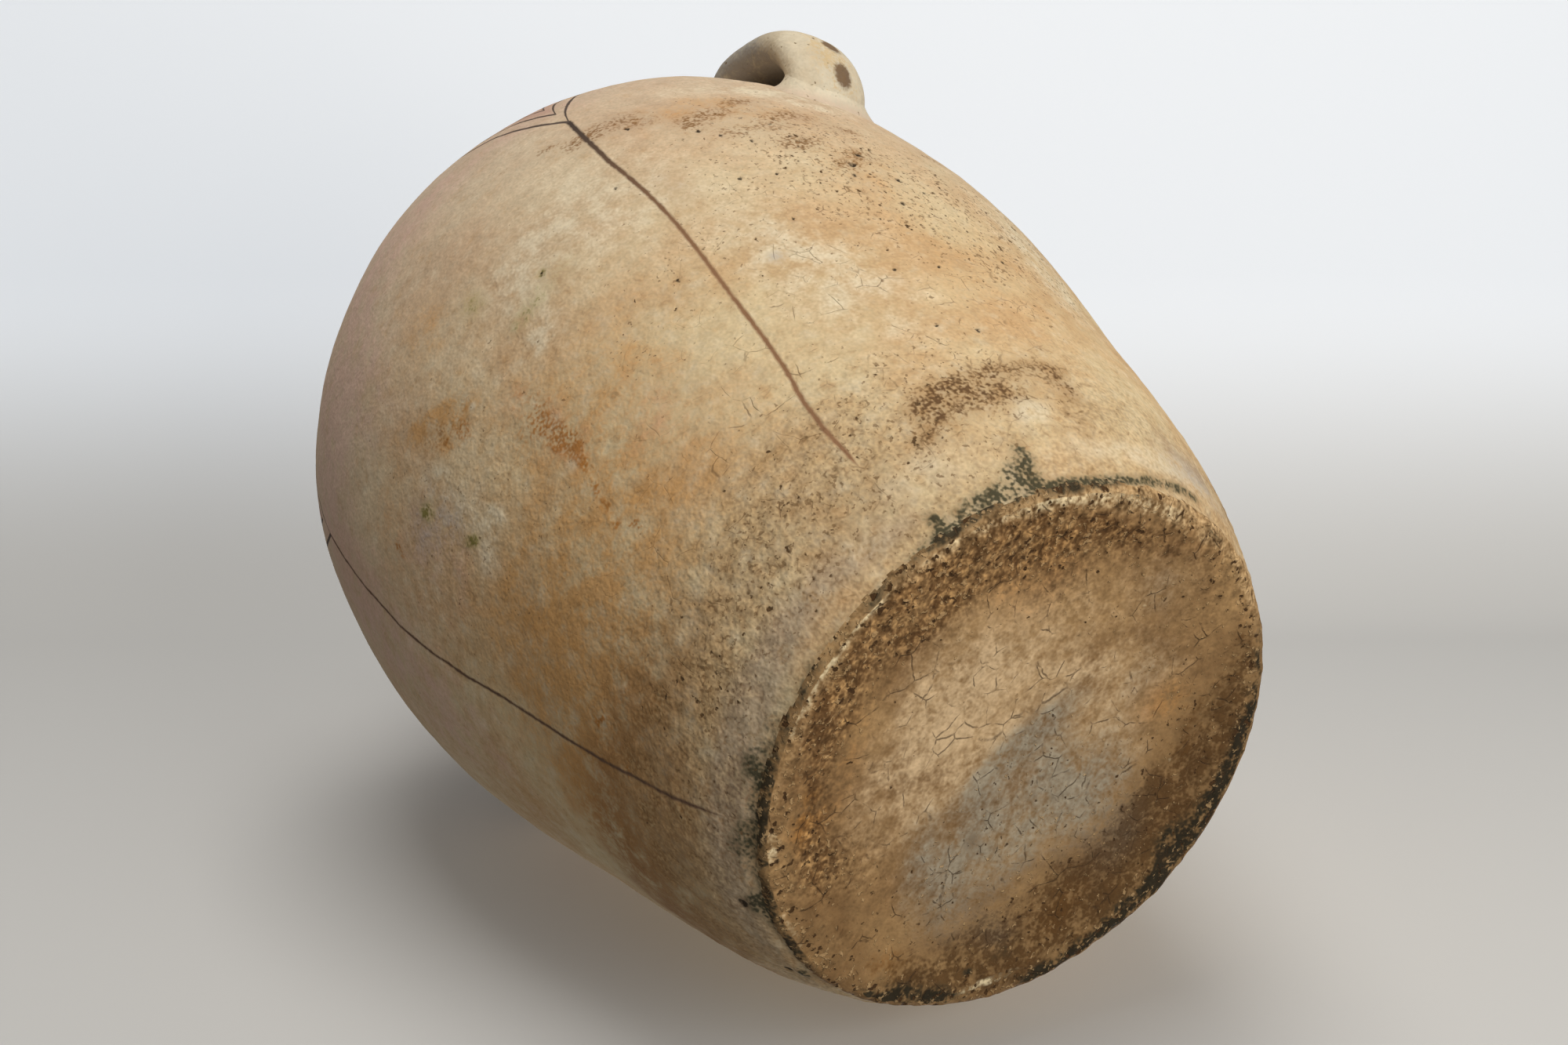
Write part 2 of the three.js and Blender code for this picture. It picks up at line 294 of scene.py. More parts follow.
def add_cracks(tree, place, spacing, width, gap, cloud):
    """Hairline cracks round uneven cells of the spacing in mm. Noise pushes them about by a third of
    that, and they break off where the clouds are below gap."""
    scale = 1 / (spacing * MM)
    push = add_node(tree, "TexNoise", {"Vector": place, "Scale": scale, "Detail": 3.0}, output=1)
    bent = add_node(tree, "VectorMath", {0: push, 1: [CRACK_PUSH * spacing * MM] * 3, 2: place},
                    operation="MULTIPLY_ADD")
    edge = add_node(tree, "TexVoronoi", {"Vector": bent, "Scale": scale}, feature="DISTANCE_TO_EDGE")
    line = add_node(tree, "MapRange", {"Value": edge, "From Min": width / spacing,
                                       "From Max": CRACK_CORE * width / spacing})
    there = add_node(tree, "MapRange", {"Value": cloud, "From Min": gap, "From Max": gap + CRACK_FADE})
    return add_node(tree, "Math", {0: line, 1: there}, operation="MULTIPLY")


# Bare terracotta: coarse clay fired without slip. Grit of every size breaks up its brown, drying has
# cracked it all over, and its edges have crumbled back to paler clay.

BARE_CLAY = "#a78356"
BARE_CLAY_DARK = "#8b6a44"
BARE_CRUMB_COLOUR = "#c9a473"
BARE_PIT_COLOUR = "#4a331c"
BARE_CRACK_COLOUR = "#493521"
BARE_LAYERS = [
    ("tan", "#d2b389", 0.9, 0.4, 0.1, 1.2, 0.9),
    ("orange", "#aa7539", 0.8, 0.6, 0.2, 1.3, 0.65),
    ("blue", "#968e7b", 0.65, 0.5, 0.1, 1.3, 0.75),
    # The damp layer is a damp stain and, towards the floor, painted shade.
    ("damp_and_floor_shade", "#4a3117", 0.7, 0.8, 0.1, 1.2, 0.87),
    ("grime", "#573719", 0.5, -0.8, 0.1, 1.5, 0.78),
    ("grime", "#c79a62", 0.3, 1.0, 0.8, 2.2, 0.55),
    ("crumb", "#5a4226", 0.5, -1.0, 0.4, 1.8, 0.65),
    ("crumb", "#cbaa7c", 0.5, 0.9, 0.3, 1.7, 0.75),
    ("pale", "#dcc79d", 0.6, 1.0, 0.3, 1.4, 0.85),
    ("mould", "#5e5239", 0.8, 0.8, 0.15, 1.2, 0.5),
    ("mould", "#282318", 1.0, 0.9, 0.3, 1.15, 0.92),
]
# Noises by feature size in mm, detail, roughness and strength.
BARE_BLOTCH = (40.0, 5.0, 0.6, 1.0)
BARE_CLOUD = (11.0, 3.0, 0.65, 0.86)
BARE_MOTTLE = (6.5, 2.5, 0.7, 0.82)
BARE_LUMP = (3.2, 1.5, 0.66, 0.72)
BARE_GRIT = (1.3, 0.5, 0.65, 0.6)
# Flecks by size in mm and level, cracks by spacing and width in mm and gap, and bumps by height in mm
# and strength.
BARE_CRUMB = (2.2, 0.95)
BARE_PIT = (3.1, 1.05)
BARE_CRACK = (11.0, 0.3, 0.0)
BARE_BUMP = (0.38, 1.0)


def bare_terracotta():
    """Bare coarse clay with its stains, crumbs, pits, drying cracks and grit."""
    material, tree, surface, place = start_clay("bare_terracotta")
    blotch = add_noise(tree, place, *BARE_BLOTCH)
    cloud = add_noise(tree, place, *BARE_CLOUD)
    mottle = add_noise(tree, place, *BARE_MOTTLE)
    lumps = add_noise(tree, place, *BARE_LUMP)
    grit = add_noise(tree, place, *BARE_GRIT)
    grain = add_up(tree, lumps, [(grit, 0.6)])
    patch = add_node(tree, "MapRange", {"Value": blotch, "From Min": -0.5, "From Max": 0.5})
    colour = lay_over(tree, linear(BARE_CLAY_DARK), [(patch, linear(BARE_CLAY))])
    colour = stain_over(tree, colour, cloud, grain, BARE_LAYERS)
    crusty = add_node(tree, "Attribute", {}, output="Fac", attribute_name="crusty")
    coarse = add_up(tree, grain, [(mottle, 1.6)])
    coarse = add_node(tree, "Math", {0: coarse, 1: crusty}, operation="MULTIPLY")
    colour = shade_by(tree, colour, [(cloud, 0.12), (lumps, 0.1), (grit, 0.1), (coarse, 0.22)])
    crumb = add_flecks(tree, place, *BARE_CRUMB, crusty)
    pale = add_node(tree, "Math", {0: crumb, 1: 0.5}, operation="MULTIPLY")
    pit = add_flecks(tree, place, *BARE_PIT, crusty)
    crack = add_cracks(tree, place, *BARE_CRACK, cloud)
    crack = add_node(tree, "Math", {0: crack, 1: 0.7}, operation="MULTIPLY")
    colour = lay_over(tree, colour, [(pale, linear(BARE_CRUMB_COLOUR)), (pit, linear(BARE_PIT_COLOUR)),
                                     (crack, linear(BARE_CRACK_COLOUR))])
    raised = add_up(tree, crumb, [(lumps, 0.5), (grit, 0.25), (pit, -1.0), (crack, -1.0)])
    finish_clay(tree, surface, colour, raised, *BARE_BUMP)
    return material


bare_clay = bare_terracotta()

# Where the underside is stained, each oval as x, y, half width, half height, turn and strength. The
# dark damp ovals on the side towards the floor, with the pale tan ones away from it, make the
# underside darker towards the floor: partly stains, partly painted shade.
BASE_STAINS = {
    "tan": [(10, -42, 56, 28, 12, 0.9), (-2, -18, 26, 6, 34, 0.5), (42, 2, 24, 36, -20, 0.4),
            (8, 40, 36, 18, 0, 0.3), (40, 55, 22, 18, 0, 0.2), (66, -5, 12, 18, 0, 0.2),
            (30, 20, 22, 16, 0, 0.4), (80, 20, 10, 16, 0, 0.3)],
    "orange": [(29, 53, 12, 16, -35, 0.9), (-66, 50, 22, 11, 25, 0.9), (-91, -25, 9, 14, 10, 0.7),
               (-30, -90, 14, 6, -10, 0.8), (-45, 32, 20, 8, 10, 0.4), (-70, 75, 10, 7, 40, 0.7),
               (15, 18, 16, 5, 15, 0.3), (10, 78, 24, 8, 0, 0.5), (60, -85, 12, 6, 35, 0.4),
               (68, -32, 28, 34, -10, 0.6), (-12, -78, 44, 12, 0, 0.5)],
    "blue": [(0, -5, 27, 8, 34, 0.9), (-30, -8, 30, 15, 8, 0.8), (-60, -4, 26, 16, 10, 0.5),
             (-32, 67, 18, 11, 10, 0.6), (-12, 38, 22, 16, 0, 0.6), (-40, 18, 34, 14, 0, 0.55),
             (-78, 24, 8, 10, 0, 0.6), (-45, -30, 22, 10, -15, 0.7), (20, 10, 18, 9, 30, 0.4),
             (-78, 0, 14, 18, 0, 0.15), (-14, 48, 40, 22, 0, 0.45), (-8, 18, 22, 12, 0, 0.6),
             (40, 42, 20, 14, 0, 0.4), (78, 32, 18, 20, 0, 0.35)],
    # Damp ovals towards the floor: a damp stain and painted shade where the floor shaded the underside.
    "damp_and_floor_shade": [(-62, 66, 46, 26, 42, 0.75), (5, 95, 52, 14, -2, 1.1), (55, 84, 24, 11, -36, 0.4),
             (-96, 2, 13, 40, -4, 0.9), (-24, 76, 36, 20, 5, 0.9), (-38, -6, 5, 5, 0, 0.5),
             (-62, 38, 34, 26, 0, 0.35), (-76, -60, 20, 28, 40, 0.5), (30, 74, 34, 14, 0, 0.3),
             (-72, 0, 24, 30, 0, 0.3), (-80, 22, 12, 14, 0, 0.4), (-60, 60, 22, 14, 40, 0.3)],
    "grime": [(92, 4, 10, 38, -2, 0.8), (86, -34, 14, 26, -22, 0.9), (48, -74, 20, 14, 34, 1.2),
              (72, -62, 16, 22, -45, 1.0), (15, -88, 28, 9, 6, 0.8), (-48, -74, 14, 16, 45, 0.85),
              (-22, -86, 26, 9, -8, 0.7), (-78, -52, 10, 16, 35, 0.6), (82, 48, 12, 18, 28, 0.35),
              (68, -20, 14, 24, 0, 0.5), (-50, -55, 24, 14, 40, 0.4), (57, -83, 16, 5, 34, 0.9),
              (30, -95, 18, 5, 18, 0.9), (4, -99, 18, 5, 2, 0.8)],
    "pale": [(-98, 24, 2.2, 16, -24, 1.0), (-74, -78, 3, 14, 45, 0.6), (51, -95, 13, 2.6, 28, 1.0),
             (30, -103, 13, 2.6, 18, 1.0), (67, 26, 3, 4, 0, 0.5), (-42, -98, 10, 4, -22, 0.7),
             (5, 73, 1.5, 1.5, 0, 0.9), (10, -107, 14, 2.6, 6, 0.9), (103, -22, 4, 16, -12, 0.7),
             (105, 8, 4, 20, 4, 0.75), (98, -44, 4, 14, -24, 0.75), (87, -62, 4, 12, -35, 0.65),
             (74, -78, 3.4, 12, -46, 0.55)],
    "mould": [(-35, 99, 18, 9, 16, 1.0), (-5, 105, 28, 7, 3, 1.0), (30, 102, 22, 7, -16, 1.0),
              (-64, 85, 20, 8, 37, 1.0), (-84, 66, 16, 7, 52, 1.0), (-94, 48, 12, 6, 64, 0.6),
              (-30, 90, 10, 7, 0, 0.9), (-105, 4, 6, 12, 0, 1.0), (-104, -17, 6, 12, 0, 1.0),
              (-104, -34, 4, 8, 0, 0.8), (-94, 15, 2, 3, 0, 0.9), (60, 90, 16, 5, -35, 0.7),
              (-85, 28, 6, 8, 0, 0.45), (109, 4, 2.5, 50, 0, 0.9), (102, 38, 3, 18, 20, 0.7),
              (-80, -75, 22, 3, -47, 0.45), (-30, -106, 30, 2.5, -16, 0.4), (30, -106, 30, 2.5, 16, 0.4),
              (-42, 99, 24, 9, 22, 0.7), (-8, 104, 26, 8, 4, 0.6), (-64, 84, 18, 8, 38, 0.6)],
}
# Radii between which the underside turns crusty, turns gritty, and goes over into the standing foot.
CRUST_RADII = (88.0, 104.0)
GRIT_RADII = (62.0, 104.0)
STANDING_RADII = (87.0, 107.0)
STANDING_HEIGHT = 0.45
# Lumps by height and cell size in mm. A grit has a height all over, and one more that grows to the rim.
CRUMB_WAVER = [(3.0, 9.0)]
STANDING_WAVER = [(2.5, 21.0)]
BASE_DENTS = [(0.7, 46.0), (0.35, 17.0)]
BASE_GRITS = [(0.12, 0.28, 5.4), (0.1, 0.2, 2.5)]


def base_stains(points):
    """How strongly each stain of the underside covers some points, by name. Crust grows to the rim."""
    def offset(x, y):
        return points[..., 0] - x, points[..., 1] - y
    stains = {stain: soft_ovals(offset, ovals) for stain, ovals in BASE_STAINS.items()}
    radius = np.hypot(*offset(0, 0))
    stains["crusty"] = np.maximum(0.6 * (1 - stains["tan"]), stains["grime"])
    stains["crusty"] = np.clip(np.maximum(stains["crusty"], soft_step(*CRUST_RADII, radius)), 0.15, 1)
    wavering = radius + clay_lumps(points, CRUMB_WAVER)
    stains["crumb"] = soft_step(DISH_RADIUS - 1, DISH_RADIUS + 5, wavering)
    dry_side = 0.55 + 0.35 * points[..., 0] / FOOT_RADIUS
    stains["crumb"] = stains["crumb"] * dry_side * (1 - 0.6 * stains["damp_and_floor_shade"])
    return stains


def base_relief(points):
    """How far the coarse underside stands out of its smooth form, in mm: slow dents, and two grits
    that are coarser towards the crumbling rim."""
    radius = np.hypot(points[..., 0], points[..., 1])
    crust = soft_step(*GRIT_RADII, radius)
    relief = clay_lumps(points, BASE_DENTS) * (1 - 0.5 * crust)
    for height, rim_height, cell in BASE_GRITS:
        relief = relief + (height + rim_height * crust) * lattice_noise(points, cell)
    return relief


def underside_rings():
    """Rings of the whole underside, from the middle of the dish to the edge of the foot. The dish's
    depth falls with the square of the radius, and goes over into the foot along a wavering line."""
    dish = np.arange(POLE_RADIUS, DISH_RADIUS - DISH_ROW / 2, DISH_ROW)
    radius = np.append(dish, np.arange(DISH_RADIUS, FOOT_RADIUS - 0.4, RIM_ROW))[:, None]
    rings = ring_points(radius, 0.0)
    hollow = DISH_DEPTH - (DISH_DEPTH - DISH_EDGE_HEIGHT) * (radius / DISH_RADIUS) ** 2
    standing = soft_step(*STANDING_RADII, radius + clay_lumps(rings, STANDING_WAVER))
    height = hollow * (1 - standing) + STANDING_HEIGHT * standing - base_relief(rings)
    rings[..., 2] = np.maximum(height, 0.0)
    return rings, len(dish) + 1


slab_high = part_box("base_slab")[1]
slab_top = slab_high.z / MM
slab_top_radius = slab_high.x / MM

underside, dish_rows = underside_rings()
underside_shading = grid_shading(underside)
top_radius = np.append(np.arange(slab_top_radius, POLE_RADIUS, -SLAB_TOP_ROW), POLE_RADIUS)[:, None]
slab_rows = np.concatenate([underside[:dish_rows], ring_points(top_radius, slab_top)])
slab_points = np.concatenate([
    slab_rows.reshape(-1, 3),
    [[0, 0, underside[0, :, 2].mean()], [0, 0, slab_top]],
])
slab_poles = len(slab_points) - 2
slab_faces = [
    grid_quads(len(slab_rows), COLUMNS, False),
    pole_fan(slab_poles, np.arange(COLUMNS)[::-1]),
    pole_fan(slab_poles + 1, np.arange(COLUMNS) + (len(slab_rows) - 1) * COLUMNS),
]
slab_shading = np.zeros((len(slab_points), 3))
slab_shading[:dish_rows * COLUMNS] = underside_shading[:dish_rows].reshape(-1, 3)
slab_mesh = make_mesh("base_slab_clay", slab_points, slab_faces, base_stains(slab_points), slab_shading)
add_piece("base_slab", slab_mesh, [bare_clay])


# The wall. Coils of clay are laid up in courses from the foot to the mouth, pinched together on
# slanting joints, scraped thin and wiped over with a pale slip. It is worked out here as one skin,
# from the edge of the foot to the lip, and the next sections cut it at the joints between courses.

OUTLINE = np.array([
    (FOOT_RADIUS, 0.0), (131.0, 42.0), (159.0, 130.0), (184.0, 220.0), (192.5, 295.0),
    (187.0, 355.0), (149.0, 430.0), (84.0, 478.0), (64.0, 502.0), (76.0, 522.0),
])
WALL_THICKNESS = 11.0
JOINT_CLIMB = 9.0
FOOT_COIL_HEIGHT = 13.0
BELLY_HEIGHT = OUTLINE[4, 1]
NECK_ROOT_HEIGHT = OUTLINE[7, 1]
LOWER_ROOT_RISE = 5.0
HANDLE_SPAN = 86.0
ROOT_COURSE_LENGTH = 50.0
NECK_ROOT_COIL_LENGTH = 30.0
RIM_COIL_LENGTH = 16.0
FOOT_ROW = 0.9
WALL_ROW = 1.7
CURVE_STEPS = 200


def smooth_curve(points):
    """A centripetal Catmull-Rom curve through points: each stretch blends straight lines through its
    four nearest points, with knots spaced by the square root of the distance between them."""
    padded = np.vstack([2 * points[0] - points[1], points, 2 * points[-1] - points[-2]])
    p0, p1, p2, p3 = (padded[start:len(padded) - 3 + start, None, :] for start in range(4))
    k0 = 0.0
    k1 = k0 + np.sqrt(np.linalg.norm(p1 - p0, axis=-1, keepdims=True))
    k2 = k1 + np.sqrt(np.linalg.norm(p2 - p1, axis=-1, keepdims=True))
    k3 = k2 + np.sqrt(np.linalg.norm(p3 - p2, axis=-1, keepdims=True))
    k = k1 + (k2 - k1) * np.linspace(0, 1, CURVE_STEPS, endpoint=False)[None, :, None]
    a1 = p0 + (p1 - p0) * (k - k0) / (k1 - k0)
    a2 = p1 + (p2 - p1) * (k - k1) / (k2 - k1)
    a3 = p2 + (p3 - p2) * (k - k2) / (k3 - k2)
    b1 = a1 + (a2 - a1) * (k - k0) / (k2 - k0)
    b2 = a2 + (a3 - a2) * (k - k1) / (k3 - k1)
    curve = b1 + (b2 - b1) * (k - k1) / (k2 - k1)
    return np.vstack([curve.reshape(-1, points.shape[1]), points[-1]])


def run_along(curve):
    """Length along a curve at each of its points."""
    return np.append(0.0, np.cumsum(np.linalg.norm(np.diff(curve, axis=0), axis=1)))


outline = smooth_curve(OUTLINE)
outline_run = run_along(outline)
outline_length = outline_run[-1]
outline_slope = np.gradient(outline, outline_run, axis=0)
outline_slope /= np.linalg.norm(outline_slope, axis=1, keepdims=True)


def outline_at(length):
    """Radius, height and the outward normal's radius and height parts, at a length along the outline."""
    parts = np.hstack([outline, outline_slope]).T
    radius, height, slope_radius, slope_height = (np.interp(length, outline_run, part) for part in parts)
    return radius, height, slope_height, -slope_radius


def length_at(height):
    """Length along the outline at a height."""
    return np.interp(height, outline[:, 1], outline_run)


foot_joint = length_at(FOOT_COIL_HEIGHT)
lower_root = length_at(BELLY_HEIGHT) + LOWER_ROOT_RISE
upper_root = lower_root + HANDLE_SPAN
belly_low = lower_root - ROOT_COURSE_LENGTH / 2
neck_root_low = length_at(NECK_ROOT_HEIGHT) - NECK_ROOT_COIL_LENGTH / 2
lower_joints = np.linspace(foot_joint, belly_low, 5)
joints = {
    "foot_coil": 0.0,
    "heel_course": foot_joint,
    "lower_wall_course": lower_joints[1],
    "middle_wall_course": lower_joints[2],
    "upper_wall_course": lower_joints[3],
    "belly_course": belly_low,
    "lower_shoulder_course": belly_low + ROOT_COURSE_LENGTH,
    "upper_shoulder_course": upper_root - ROOT_COURSE_LENGTH / 2,
    "crown_course": upper_root + ROOT_COURSE_LENGTH / 2,
    "neck_root_coil": neck_root_low,
    "neck_collar": neck_root_low + NECK_ROOT_COIL_LENGTH,
    "mouth_rim": outline_length - RIM_COIL_LENGTH,
}
joint_lengths = np.append(list(joints.values()), outline_length)
row_steps = np.where(np.arange(len(joints)) < 2, FOOT_ROW, WALL_ROW)
row_counts = np.ceil(np.diff(joint_lengths) / row_steps).astype(int)
row_lengths = [
    np.linspace(low, high, count, endpoint=False)
    for low, high, count in zip(joint_lengths, joint_lengths[1:], row_counts)
]
wall_length = np.append(np.concatenate(row_lengths), outline_length)[:, None]
joint_rows = np.append(0, np.cumsum(row_counts))

wall_radius, wall_height, normal_radius, normal_height = outline_at(wall_length)
smooth_wall = ring_points(wall_radius, wall_height)
wall_normal = ring_points(normal_radius, normal_height)


def wall_offset(degrees, length):
    """Distances on the wall from a place given by azimuth and length: round it, and up along it."""
    turn = np.degrees(azimuth) - degrees
    return np.radians((turn + 180) % 360 - 180) * wall_radius, wall_length - length


